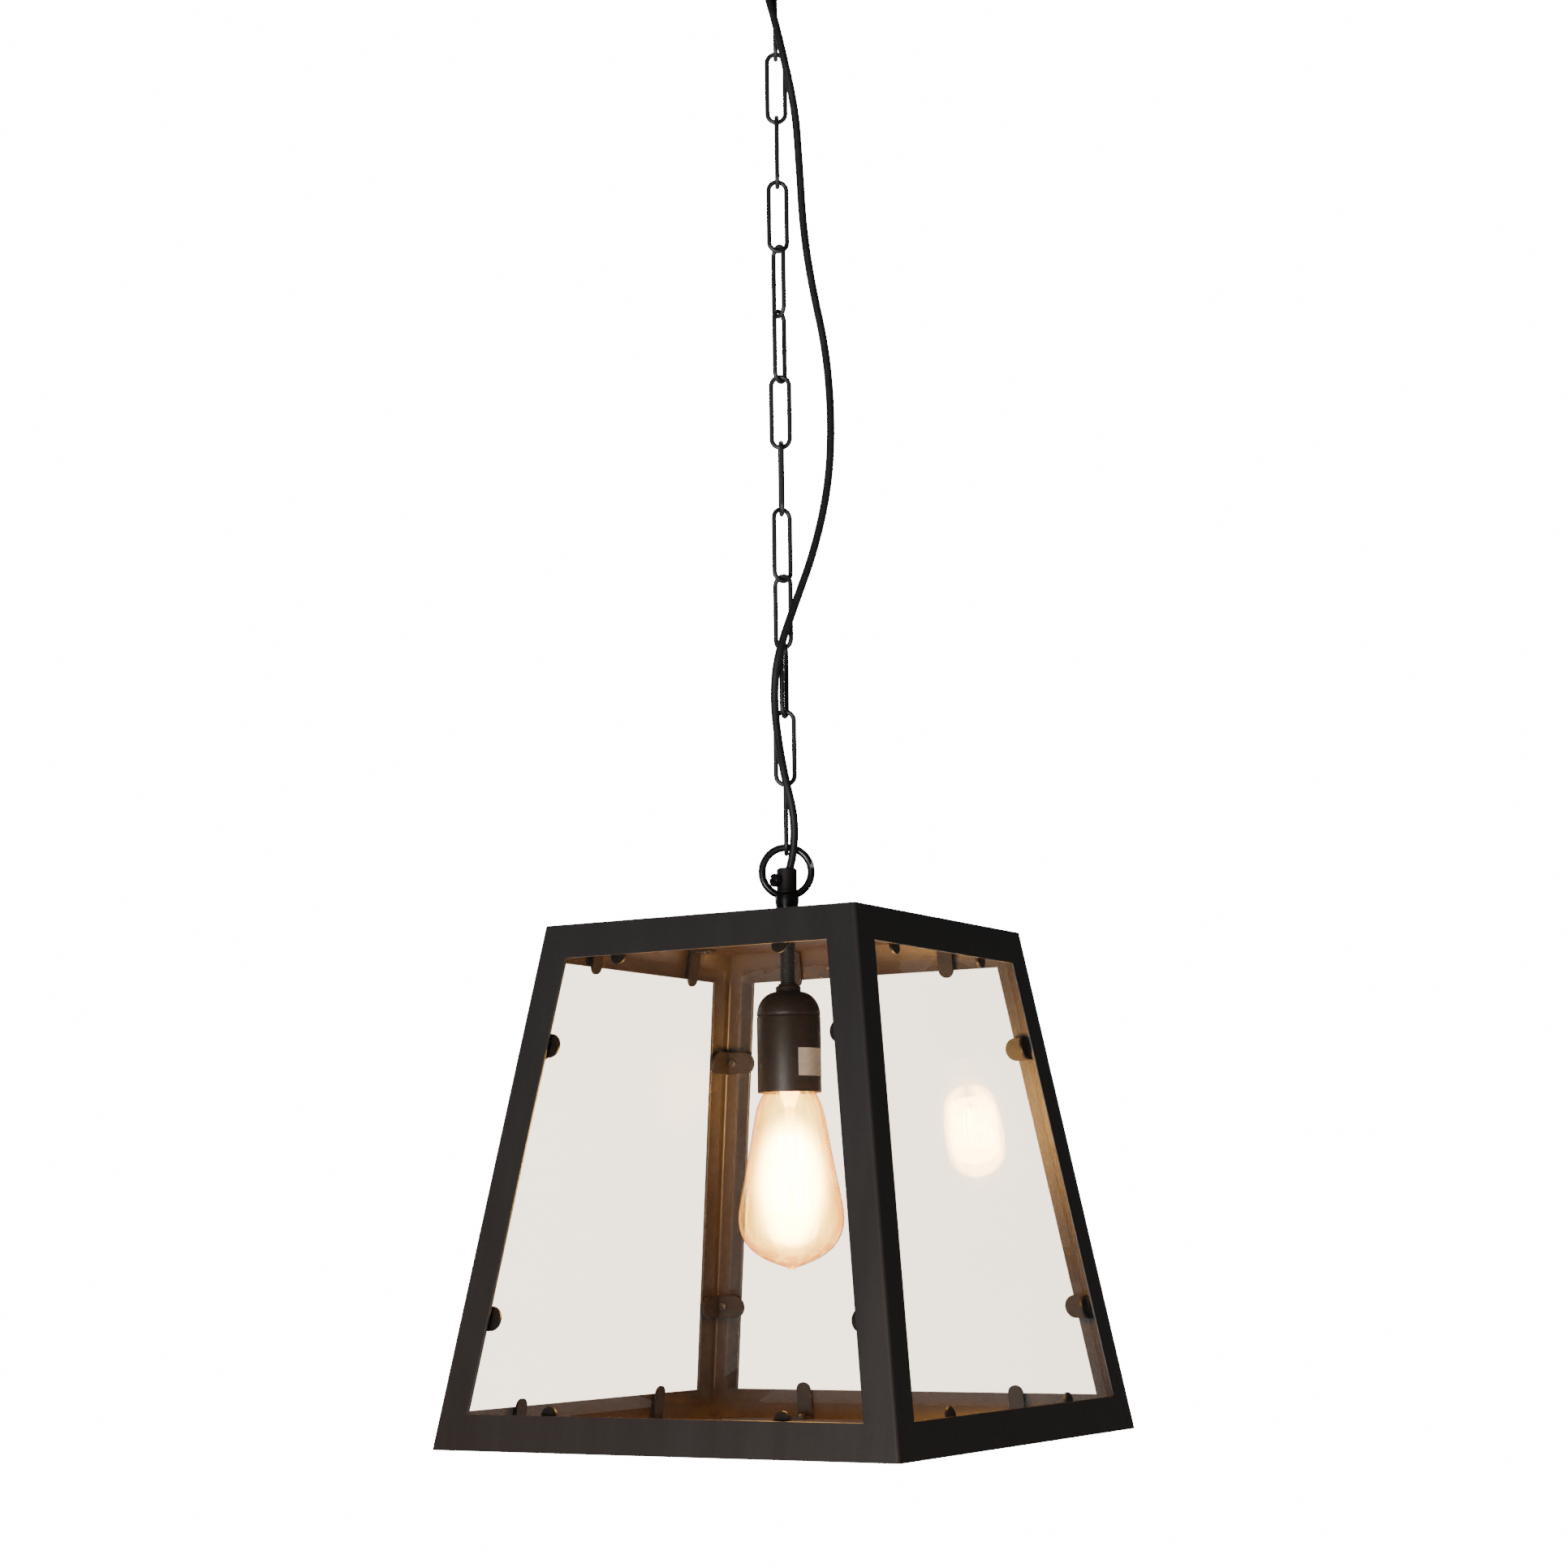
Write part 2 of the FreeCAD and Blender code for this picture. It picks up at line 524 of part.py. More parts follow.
# Cord grip: a sleeve on the hub, open towards the front at its mouth, with a slotted thumb screw.
grip = turned("grip_blank", [
    ("bore_r", "hub_top"), ("grip_r + grip_lip", "hub_top"), ("grip_r + grip_lip", "hub_top + grip_lip_h"),
    ("grip_r", "hub_top + grip_lip_h + grip_lip"), ("grip_r", "grip_top - grip_bevel"),
    ("grip_r - grip_bevel", "grip_top"), ("bore_r", "grip_top"),
], TOP)


def thumb_rod(label, radius, near, far):
    """A level rod through the grip's side, between two distances from its axis."""
    piece = add("Part::Cylinder", label, Radius=radius, Height=f"{far} - ({near})")
    height = place(z=TOP + " + thumb_up", yaw=THUMB_TURN)
    piece.setExpression("Placement", height + " * " + place(near, pitch=90))
    return piece


keep(fuse("thumb_screw", [
    thumb_rod("thumb_shaft", "screw_r", "cable_r + cord_gap", "grip_r + grip_lip"),
    thumb_rod("thumb_head", "thumb_r", "grip_r + grip_lip", "grip_r + grip_lip + thumb_t"),
]), "thumb_screw")
cord_way = doc.addObject("Part::Feature", "cord_way")
cord_way.Shape = cord_shape(size("cable_r + cord_gap"))
grip_ways = fuse("grip_ways", [thumb_rod("thumb_way", "screw_r + thread_gap", "0", "grip_r * 2"), cord_way])
keep(cut("cord_grip", grip, grip_ways), "cord_grip")

# Stem: the threaded tube through the top plate, with its nut.
stem_low = f"{TOP} - neck_low - shell_t"
tube = rod("stem_blank", "stem_r", stem_low, f"{TOP} + hub_step")
stem_bore = rod("stem_bore", "bore_r", f"{stem_low} - {OVERCUT}", f"{TOP} + hub_step + {OVERCUT}")
keep(cut("stem", tube, stem_bore), "stem")
nut("stem_nut", "stem_nut_r", f"{TOP} - iron_t - stem_nut_h", "stem_nut_h", "stem_r")


def dome(inset, angles):
    """Points down the holder's domed cap, a quarter of an ellipse, inset from its outer face."""
    wide, tall = f"(holder_r - neck_r - {inset})", f"(cap_low - neck_low - {inset})"
    return [(f"neck_r + {wide} * sin({angle})", f"{tall} * cos({angle}) - cap_low") for angle in angles]


# Lamp holder: a domed cap and a plain skirt round the core that carries the screw shell and its contact.
ANGLES = (0, 18, 36, 54, 72, 90)
keep(turned("holder_cap", [
    ("stem_r", "-neck_top"), ("neck_r", "-neck_top"), *dome("0", ANGLES),
    *dome("holder_wall", ANGLES[::-1]), ("stem_r", "-neck_low - holder_wall"),
], TOP), "holder_cap")
WALL_IN = "holder_r - holder_wall"
keep(turned("holder_skirt", [
    (WALL_IN, "-cap_low"), ("holder_r", "-cap_low"), ("holder_r", "-holder_low"), (WALL_IN, "-holder_low"),
], TOP), "holder_skirt")
CORE_LOW = "contact_low - holder_low + core_up"
keep(turned("holder_insert", [
    ("0", "core_t + contact_t"), (WALL_IN, "core_t + contact_t"), (WALL_IN, CORE_LOW),
    ("shell_r + shell_t", CORE_LOW), ("shell_r + shell_t", "contact_t"), ("0", "contact_t"),
], CONTACT), "holder_insert")
keep(turned("thread_shell", [
    ("shell_r", "contact_t"), ("shell_r + shell_t", "contact_t"), ("shell_r + shell_t", CORE_LOW),
    ("shell_r", CORE_LOW),
], CONTACT), "thread_shell")
keep(rod("centre_contact", "contact_r", CONTACT, f"{CONTACT} + contact_t"), "centre_contact")
band = cut(
    "label_band", rod("label_out", "holder_r + label_t", f"{TOP} - label_low", f"{TOP} - label_top"),
    rod("label_in", "holder_r", f"{TOP} - label_low - {OVERCUT}", f"{TOP} - label_top + {OVERCUT}"),
)
label_h = "label_low - label_top"
patch = add("Part::Box", "label_patch", Length="holder_r * 2", Width="label_w", Height=label_h)
on_side(patch, LABEL_TURN, "0", "-label_w / 2", f"{TOP} - label_low")
keep(common("holder_label", band, patch), "holder_label")

# Bulb: foot and screw cap, the glass mount in its neck, the blown glass, and the strung filament.
keep(turned("bulb_foot", [
    ("0", "0"), ("tip_r", "0"), ("tip_r", "-tip_h"), ("foot_r", "-foot_step"), ("foot_r", "-foot_h"),
    ("0", "-foot_h"),
], CONTACT), "bulb_foot")
CAP_IN = "cap_r - cap_t"
CAP_TOP = "-foot_h - thread_gap"
keep(turned("bulb_cap", [
    ("tip_r", CAP_TOP), ("cap_r - cap_bevel", CAP_TOP), ("cap_r", "-foot_h - cap_bevel"), ("cap_r", "-cap_h"),
    (CAP_IN, "-cap_h"), (CAP_IN, "-foot_h - cap_bevel"), ("cap_r - cap_bevel", CAP_TOP + " - cap_t"),
    ("tip_r", CAP_TOP + " - cap_t"),
], CONTACT), "bulb_cap")
keep(turned("bulb_mount", [
    ("0", "-mount_top"), (CAP_IN + " - cap_gap", "-mount_top"),
    (CAP_IN + " - cap_gap", "-mount_top - mount_flange"), ("cap_r - cap_bevel", "-mount_top - mount_flange"),
    ("cap_r / 2", "-mount_low * 0.52"), ("mount_r * 1.2", "-mount_low * 0.66"), ("mount_r", "-mount_low + 6"),
    ("mount_knob_r", "-mount_low + 2"), ("0", "-mount_low"),
], CONTACT), "bulb_mount")


def glass_shape():
    """A thin blown wall: one smooth side turned about the axis, less the same side moved inwards.

    The side stays clear of the holder's skirt for as long as it is inside it.
    """
    neck = [point for point in GLASS_SIDE if point[0] <= size("cap_r")]
    wide = size("bulb_r") / max(r for r, _ in GLASS_SIDE)
    deep = (size("bulb_low") - size("glass_tip_r") - neck[-1][1]) / (GLASS_SIDE[-1][1] - neck[-1][1] - 0.1)
    wall, room = size("glass_t"), size("holder_r - holder_wall - cap_gap")
    skirt_low = size("holder_low - contact_low")
    side = []
    for radius, depth in GLASS_SIDE:
        if (radius, depth) not in neck:
            radius, depth = radius * wide, neck[-1][1] + (depth - neck[-1][1]) * deep
        if depth < skirt_low + size("cap_bevel"):
            radius = min(radius, room)
        side.append((radius, -depth))
    inside = [(side[0][0] - wall, side[0][1])]
    for before, (r, h), after in zip(side, side[1:], side[2:]):
        run = math.hypot(after[0] - before[0], after[1] - before[1])
        inside.append((r + wall * (after[1] - before[1]) / run, h - wall * (after[0] - before[0]) / run))
    inside.append((0.0, side[-1][1] + wall))
    solids = []
    for points in (side, inside):
        start, *_, end = [FreeCAD.Vector(r, 0, h) for r, h in points]
        curve = Part.BSplineCurve()
        curve.interpolate([FreeCAD.Vector(r, 0, h) for r, h in points])
        top = FreeCAD.Vector(0, 0, start.z)
        outline = Part.Wire([curve.toShape(), Part.makeLine(end, top), Part.makeLine(top, start)])
        solids.append(Part.Face(outline).revolve(FreeCAD.Vector(0, 0, 0), FreeCAD.Vector(0, 0, 1), 360))
    tip = Part.makeSphere(size("glass_tip_r"), FreeCAD.Vector(0, 0, size("glass_tip_r") - size("bulb_low")))
    return solids[0].fuse(tip).cut(solids[1])


glass = doc.addObject("Part::Feature", "bulb_glass")
glass.Shape = glass_shape()
keep(at(glass, z=CONTACT), "bulb_glass")


def wire(label, first, last, radius):
    """A thin straight wire between two points, below the contact's face."""
    piece = add("Part::Cylinder", label, Radius=radius)
    piece.Height = (last - first).Length
    low = FreeCAD.Vector(0, 0, size(CONTACT))
    piece.Placement = FreeCAD.Placement(first + low, FreeCAD.Rotation(FreeCAD.Vector(0, 0, 1), last - first))
    return piece


def round_point(radius, degrees, depth):
    spin = FreeCAD.Rotation(FreeCAD.Vector(0, 0, 1), degrees)
    return spin.multVec(FreeCAD.Vector(size(radius), 0, -size(depth)))


strands, spokes = [], []
step = 360 / FILAMENT_HOOKS
for i in range(FILAMENT_HOOKS):
    high = round_point("filament_up_r", step * i, "filament_up")
    low = round_point("filament_low_r", step * (i + 0.5), "filament_low")
    after = round_point("filament_up_r", step * (i + 1), "filament_up")
    if i < FILAMENT_HOOKS - 1:
        strands.append(wire(f"strand_{i}_up", low, after, "filament_r"))
    strands.append(wire(f"strand_{i}_down", high, low, "filament_r"))
    spokes.append(wire(f"spoke_{i}_low", round_point("0", 0, "mount_low"), low, "filament_r * 0.8"))
    spokes.append(wire(f"spoke_{i}_high", round_point("0", 0, "mount_low - 8"), high, "filament_r * 0.8"))
keep(fuse("bulb_filament", strands), "bulb_filament")
keep(fuse("filament_supports", spokes), "filament_supports")

doc.recompute()
os.makedirs("parts", exist_ok=True)
faults = [f"{o.Label}: {o.State}" for o in doc.Objects if "Invalid" in o.State or "Error" in o.State]
for piece in NODES:
    shape = piece.Shape
    if shape.isNull() or not shape.isValid() or not shape.Solids:
        faults.append(f"{piece.Label}: null or not valid")
        continue
    limits = shape.BoundBox
    print(
        f"{piece.Label:24s} {len(shape.Solids):3d} solids {shape.Volume:12.1f}",
        [round(v, 2) for v in (limits.XMin, limits.XMax, limits.YMin, limits.YMax, limits.ZMin, limits.ZMax)],
    )
if faults:
    raise RuntimeError("; ".join(faults))
for piece in NODES:
    piece.Shape.exportStep(f"parts/{piece.Label}.step")
print(len(NODES), "parts written")
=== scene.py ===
import math

import bmesh
import bpy
from mathutils import Matrix, Vector


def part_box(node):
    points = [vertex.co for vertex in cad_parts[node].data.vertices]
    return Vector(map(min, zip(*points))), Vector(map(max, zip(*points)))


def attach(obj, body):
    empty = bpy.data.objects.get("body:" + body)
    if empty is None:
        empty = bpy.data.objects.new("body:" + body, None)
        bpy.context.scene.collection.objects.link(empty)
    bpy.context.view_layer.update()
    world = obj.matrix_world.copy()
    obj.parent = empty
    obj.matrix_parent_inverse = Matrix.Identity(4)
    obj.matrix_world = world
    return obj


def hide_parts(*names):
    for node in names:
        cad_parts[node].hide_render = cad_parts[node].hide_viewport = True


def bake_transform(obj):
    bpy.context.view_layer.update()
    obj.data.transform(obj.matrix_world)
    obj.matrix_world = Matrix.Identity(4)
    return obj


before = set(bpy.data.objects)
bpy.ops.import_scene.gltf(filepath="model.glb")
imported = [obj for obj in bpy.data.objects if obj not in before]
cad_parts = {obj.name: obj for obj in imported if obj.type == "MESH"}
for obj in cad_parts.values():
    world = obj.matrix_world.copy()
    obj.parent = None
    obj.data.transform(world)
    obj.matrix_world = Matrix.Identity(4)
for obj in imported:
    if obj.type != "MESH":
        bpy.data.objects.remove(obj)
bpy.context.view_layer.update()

# Camera. It stands low, to the right of the front face and 1.75 m from the lantern, and looks a little upwards.
# It is rolled slightly.
FRAME_TOP = -0.670
CAMERA_LENS = 66.977
CAMERA_PLACE = (0.882099, -1.511659, FRAME_TOP - 0.185176)
CAMERA_AZIMUTH = math.radians(30.2938)
CAMERA_PITCH = math.radians(8.8991)
CAMERA_ROLL = math.radians(-0.7749)
camera = bpy.data.objects.new("camera", bpy.data.cameras.new("camera"))
bpy.context.scene.collection.objects.link(camera)
camera.data.sensor_width = 36.0
camera.data.lens = CAMERA_LENS
camera.data.clip_start = 0.05
camera.data.clip_end = 60.0
ahead = Vector((0, math.cos(CAMERA_PITCH), math.sin(CAMERA_PITCH)))
level_up = Vector((0, -math.sin(CAMERA_PITCH), math.cos(CAMERA_PITCH)))
to_right = math.cos(CAMERA_ROLL) * Vector((1, 0, 0)) + math.sin(CAMERA_ROLL) * level_up
to_top = -math.sin(CAMERA_ROLL) * Vector((1, 0, 0)) + math.cos(CAMERA_ROLL) * level_up
turned = Matrix.Rotation(CAMERA_AZIMUTH, 3, "Z") @ Matrix((to_right, to_top, -ahead)).transposed()
camera.matrix_world = Matrix.Translation(CAMERA_PLACE) @ turned.to_4x4()
bpy.context.scene.camera = camera

# Supply cord. A round rubber-sheathed cord, 4.9 mm thick, that leaves the ceiling gland and droops beside
# the chain to the grip in the ring. It is drawn as one smooth line, then made in five lengths, one for each
# joint of the chain that it passes.
class Value:
    """One number, colour or vector in a material's nodes. Arithmetic on it adds the nodes."""

    def __init__(self, finish, socket):
        self.finish = finish
        self.socket = socket

    def math(self, operation, first, second=0.0):
        return self.finish.node("ShaderNodeMath", {"operation": operation}, {0: first, 1: second})

    def __add__(self, other):
        return self.math("ADD", self, other)

    def __sub__(self, other):
        return self.math("SUBTRACT", self, other)

    def __rsub__(self, other):
        return self.math("SUBTRACT", other, self)

    def __mul__(self, other):
        return self.math("MULTIPLY", self, other)

    def __abs__(self):
        return self.math("ABSOLUTE", self)

    def lower(self, other):
        return self.math("MINIMUM", self, other)

    def higher(self, other):
        return self.math("MAXIMUM", self, other)

    __radd__ = __add__
    __rmul__ = __mul__


class Finish:
    """One surface's material: a Principled shader, and the nodes that feed it."""

    def __init__(self, name, **constants):
        self.material = bpy.data.materials.new(name)
        self.material.use_nodes = True
        self.tree = self.material.node_tree
        self.shader = self.tree.nodes["Principled BSDF"]
        self.out = self.tree.nodes["Material Output"]
        self.feed({key.replace("_", " "): value for key, value in constants.items()})

    def put(self, node, inputs):
        for key, value in inputs.items():
            if isinstance(value, Value):
                self.tree.links.new(value.socket, node.inputs[key])
            else:
                node.inputs[key].default_value = value

    def feed(self, inputs):
        self.put(self.shader, inputs)

    def node(self, kind, settings, inputs, output=0):
        """Adds a node: its settings first, then its sockets' values or links."""
        node = self.tree.nodes.new(kind)
        for key, value in settings.items():
            setattr(node, key, value)
        self.put(node, inputs)
        return Value(self, node.outputs[output])

    def place(self):
        return self.node("ShaderNodeTexCoord", {}, {}, "Object")

    def along(self, axis):
        return self.node("ShaderNodeSeparateXYZ", {}, {"Vector": self.place()}, axis)

    def noise(self, scale, detail=3.0, roughness=0.55, stretch=None):
        where = self.place()
        if stretch:
            where = self.node("ShaderNodeMapping", {}, {"Vector": where, "Scale": stretch})
        inputs = {"Vector": where, "Scale": scale, "Detail": detail, "Roughness": roughness}
        return self.node("ShaderNodeTexNoise", {}, inputs)

    def near(self, point, reach):
        """1 at a point, falling to 0 at a distance from it."""
        ends = {0: self.place(), 1: point}
        apart = self.node("ShaderNodeVectorMath", {"operation": "DISTANCE"}, ends, "Value")
        return self.ramp(apart, reach, 0.0)

    def blend(self, amount, first, second):
        """A colour between two, by an amount from 0 to 1."""
        ends = {6: first, 7: second}
        rgb = {
            key: (*colour, 1) if isinstance(colour, tuple) else colour for key, colour in ends.items()
        }
        return self.node("ShaderNodeMix", {"data_type": "RGBA"}, {0: amount, **rgb}, 2)

    def ramp(self, amount, low, high):
        """0 at low, 1 at high, straight between and level outside."""
        return self.node("ShaderNodeMapRange", {}, {0: amount, 1: low, 2: high})

    def bump(self, height, depth, strength=1.0):
        inputs = {"Height": height, "Distance": depth, "Strength": strength}
        return self.node("ShaderNodeBump", {}, inputs)


CORD_RADIUS = 0.00245
# The chain's first link faces this way round. Directions from it: to its right, and out of it in front.
HANG_TURN = math.radians(30.29)
ACROSS = Vector((math.cos(HANG_TURN), math.sin(HANG_TURN), 0))
TOWARDS = Vector((math.sin(HANG_TURN), -math.cos(HANG_TURN), 0))
UP = Vector((0, 0, 1))
# Each point: to the right of the chain, in front of it, and above the frame's top.
CORD_ROUTE = (
    (0.0, 0.0, 0.022), (0.0003, 0.0005, 0.031), (0.0047, 0.0054, 0.0475), (0.0052, 0.0084, 0.068),
    (-0.0005, 0.0110, 0.092), (-0.0046, 0.0072, 0.118), (-0.0064, 0.0076, 0.142),
    (-0.0041, 0.0106, 0.166),
    (0.0070, 0.0072, 0.198), (0.0200, 0.0029, 0.234), (0.0294, 0.0005, 0.276), (0.0316, 0.0, 0.318),
    (0.0289, -0.0005, 0.362), (0.0206, -0.0005, 0.404), (0.0158, 0.0, 0.440), (0.0140, 0.0015, 0.480),
    (0.0120, 0.0052, 0.516), (0.0050, 0.0102, 0.550), (-0.0005, 0.0102, 0.575), (-0.0060, 0.0086, 0.597),
    (-0.0140, 0.0045, 0.613), (-0.0200, 0.0010, 0.6285), (-0.0200, 0.0010, 0.6445),
)
cord_line = bpy.data.curves.new("cord_line", "CURVE")
cord_line.dimensions = "3D"
cord_line.resolution_u = 14
spline = cord_line.splines.new("NURBS")
spline.points.add(len(CORD_ROUTE) - 1)
for point, (right, near, up) in zip(spline.points, CORD_ROUTE, strict=True):
    point.co = (*(ACROSS * right + TOWARDS * near + UP * (FRAME_TOP + up)), 1)
spline.order_u = 3
spline.use_endpoint_u = True
cord_object = bpy.data.objects.new("cord_line", cord_line)
line_mesh = bpy.data.meshes.new_from_object(cord_object)
cord_points = [vertex.co.copy() for vertex in line_mesh.vertices][::-1]
bpy.data.objects.remove(cord_object)
bpy.data.curves.remove(cord_line)
bpy.data.meshes.remove(line_mesh)

rubber = Finish("cord_rubber", Specular_IOR_Level=0.3)
scuff = rubber.noise(160.0, 4.0)
rubber.feed({
    "Base Color": rubber.blend(
        rubber.ramp(scuff, 0.35, 0.75), (0.007, 0.0066, 0.0064), (0.015, 0.0135, 0.0125)
    ),
    "Roughness": 0.42 + scuff * 0.2,
    "Normal": rubber.bump(rubber.noise(2600.0, 2.0), 0.00004),
})


def make_piece(name, work, finish, body, nodes=(), crease=35):
    """Makes a finished bmesh a piece: it rides on a body, stands for CAD nodes and takes a slot."""
    mesh = bpy.data.meshes.new(name)
    work.to_mesh(mesh)
    work.free()
    made = bpy.data.objects.new(name, mesh)
    bpy.context.scene.collection.objects.link(made)
    mesh.materials.append(finish.material)
    mesh.shade_smooth()
    mesh.set_sharp_from_angle(angle=math.radians(crease))
    if body:
        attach(made, body)
    if nodes:
        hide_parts(*nodes)
    return made


def sweep(work, points, radius, sides, closed=False):
    """Draws a round wire along points: a ring at each, carried without twist and bridged to the next."""
    count = len(points)
    ways = []
    for i in range(count):
        before = points[(i - 1) % count] if closed or i else points[i]
        after = points[(i + 1) % count] if closed or i < count - 1 else points[i]
        ways.append((after - before).normalized())
    turn = UP.rotation_difference(ways[0])
    rings = []
    for i, (point, way) in enumerate(zip(points, ways, strict=True)):
        if i:
            turn = ways[i - 1].rotation_difference(way) @ turn
        width = radius[i] if isinstance(radius, list) else radius
        where = Matrix.Translation(point) @ turn.to_matrix().to_4x4()
        rings.append(bmesh.ops.create_circle(work, segments=sides, radius=width, matrix=where)["verts"])
    for first, second in zip(rings, rings[1:] + rings[:1] if closed else rings[1:], strict=False):
        edges = []
        for ring in (first, second):
            edges += {edge for vert in ring for edge in vert.link_edges if edge.other_vert(vert) in ring}
        bmesh.ops.bridge_loops(work, edges=edges)
    if not closed:
        for ring in (rings[0], rings[-1]):
            bmesh.ops.contextual_create(work, geom=ring)


# Where one length ends and the next begins: the middles of the top three links and of the lowest.
CORD_CUTS = (-0.0949, -0.1371, -0.1793, -0.6013)
# Each length: the two bodies it lies between, and the heights between which it would go over from one to the
# other. The loop reads none of them, and each length rides on no body.
CORD_SPANS = (
    ("canopy", "top_link", -0.036, CORD_CUTS[0]),
    ("top_link", "second_link", CORD_CUTS[0], CORD_CUTS[1]),
    ("second_link", "chain", CORD_CUTS[1], CORD_CUTS[2]),
    ("chain", "bottom_link", -0.548, CORD_CUTS[3]),
    ("bottom_link", "lantern", CORD_CUTS[3], -0.640),
)
first = 0
for number, (upper, lower, start, end) in enumerate(CORD_SPANS):
    last = len(cord_points) - 1
    if number < len(CORD_CUTS):
        last = min(range(len(cord_points)), key=lambda i, z=CORD_CUTS[number]: abs(cord_points[i].z - z))
    length_points = cord_points[first : last + 1]
    work = bmesh.new()
    sweep(work, length_points, CORD_RADIUS, 18)
    bmesh.ops.recalc_face_normals(work, faces=work.faces)
    cord_piece = make_piece(
        f"cord_length_{number + 1}", work, rubber, None, ("supply_cord",)
    )
    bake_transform(cord_piece)
    first = last


def coat(finish, *names):
    """Gives a finish to CAD nodes whose shape stays."""
    for name in names:
        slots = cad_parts[name].data.materials
        slots.clear()
        slots.append(finish.material)


coat(rubber, "cord_in_stem")


# Canopy. A spun steel cup, black powder coated, that covers the strap and the terminal block. Its rim is
# rounded, and it is clamped to the ceiling by the nut on the hook's stud.
def lathe(profile, steps=96):
    """Turns a closed outline of (radius, height) points about the upright axis."""
    work = bmesh.new()
    outline = [work.verts.new((radius, 0, height)) for radius, height in profile]
    pairs = zip(outline, outline[1:] + outline[:1], strict=True)
    edges = [work.edges.new(ends) for ends in pairs if any(vert.co.x > 1e-6 for vert in ends)]
    bmesh.ops.spin(
        work, geom=outline + edges, cent=(0, 0, 0), axis=(0, 0, 1), angle=2 * math.pi, steps=steps,
        use_merge=True,
    )
    bmesh.ops.remove_doubles(work, verts=work.verts, dist=1e-6)
    bmesh.ops.dissolve_degenerate(work, dist=1e-6, edges=work.edges)
    bmesh.ops.recalc_face_normals(work, faces=work.faces)
    return work


def soften(work, width, segments=2):
    """Rounds every sharp edge a little."""
    sharp = [e for e in work.edges if len(e.link_faces) == 2 and e.calc_face_angle() > math.radians(30)]
    bmesh.ops.bevel(
        work, geom=sharp, offset=width, offset_type="OFFSET", segments=segments, profile=0.5,
        affect="EDGES", material=-1, clamp_overlap=True,
    )
    return work


CANOPY_RADIUS, CANOPY_ROUND, CANOPY_WALL = 0.050, 0.006, 0.0015
canopy_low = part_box("canopy")[0].z


def canopy_rim(wall):
    """The rounded rim, inset by a wall's thickness, from the flat to the side."""
    middle, radius = CANOPY_RADIUS - CANOPY_ROUND, CANOPY_ROUND - wall
    angles = [math.radians(a) for a in range(0, 91, 15)]
    return [
        (middle + radius * math.sin(a), canopy_low + CANOPY_ROUND - radius * math.cos(a)) for a in angles
    ]


canopy = lathe([
    (0, canopy_low), *canopy_rim(0), (CANOPY_RADIUS, 0), (CANOPY_RADIUS - CANOPY_WALL, 0),
    *reversed(canopy_rim(CANOPY_WALL)), (0, canopy_low + CANOPY_WALL),
])
powder = Finish("canopy_powder", Specular_IOR_Level=0.4)
grit = powder.noise(1500.0, 3.0)
powder.feed({
    "Base Color": powder.blend(powder.noise(30.0, 4.0), (0.012, 0.0115, 0.011), (0.022, 0.020, 0.019)),
    "Roughness": 0.44 + grit * 0.2,
    "Normal": powder.bump(grit, 0.00008, 0.7),
})
make_piece("canopy_cup", canopy, powder, "canopy", ("canopy",))

# Strap and terminal block. The strap is pressed from zinc-plated steel and screwed to the ceiling. The block
# is moulded in cream nylon. The gland is black nylon, pushed through the canopy beside the hook.
zinc = Finish("strap_zinc", Metallic=0.9)
spangle = zinc.node("ShaderNodeTexVoronoi", {}, {"Vector": zinc.place(), "Scale": 260.0}, "Color")
zinc.feed({
    "Base Color": zinc.blend(zinc.noise(60.0), (0.42, 0.43, 0.44), (0.58, 0.58, 0.57)),
    "Roughness": 0.30 + zinc.node("ShaderNodeSeparateXYZ", {}, {"Vector": spangle}) * 0.22,
    "Normal": zinc.bump(zinc.noise(500.0), 0.00003, 0.5),
})
coat(zinc, "ceiling_strap")
nylon = Finish("block_nylon", Specular_IOR_Level=0.45)
nylon.feed({
    "Base Color": nylon.blend(nylon.noise(90.0), (0.62, 0.58, 0.49), (0.70, 0.66, 0.58)),
    "Roughness": 0.38 + nylon.noise(400.0) * 0.2,
    "Normal": nylon.bump(nylon.noise(1800.0), 0.00003, 0.5),
})
coat(nylon, "terminal_block")
gland_nylon = Finish("gland_nylon", Specular_IOR_Level=0.4)
gland_nylon.feed({
    "Base Color": gland_nylon.blend(
        gland_nylon.noise(120.0), (0.010, 0.010, 0.010), (0.020, 0.019, 0.018)
    ),
    "Roughness": 0.36 + gland_nylon.noise(900.0) * 0.2,
    "Normal": gland_nylon.bump(gland_nylon.noise(2400.0), 0.00003, 0.5),
})
coat(gland_nylon, "cord_gland")


# Hook. A forged eye on a threaded stud, black like the chain. A softened six-sided nut on the stud clamps the
# canopy from below.
def ring_points(middle, radius, steps, start=0.0, end=2 * math.pi):
    """Points round a ring that faces the way the chain hangs, from an angle to another."""
    turns = [start + (end - start) * i / steps for i in range(steps + (end - start < 2 * math.pi))]
    return [middle + ACROSS * (radius * math.cos(a)) + UP * (radius * math.sin(a)) for a in turns]


def threaded(low, high, crest, root, pitch):
    """An upright threaded rod between two heights."""
    count = round((high - low) / pitch)
    step = (high - low) / count
    flanks = []
    for i in range(count):
        crest_low, crest_high = low + step * (i + 0.35), low + step * (i + 0.65)
        flanks += [(root, low + step * i), (crest, crest_low), (crest, crest_high)]
    return lathe([(0, low), *flanks, (root, high), (0, high)], 40)


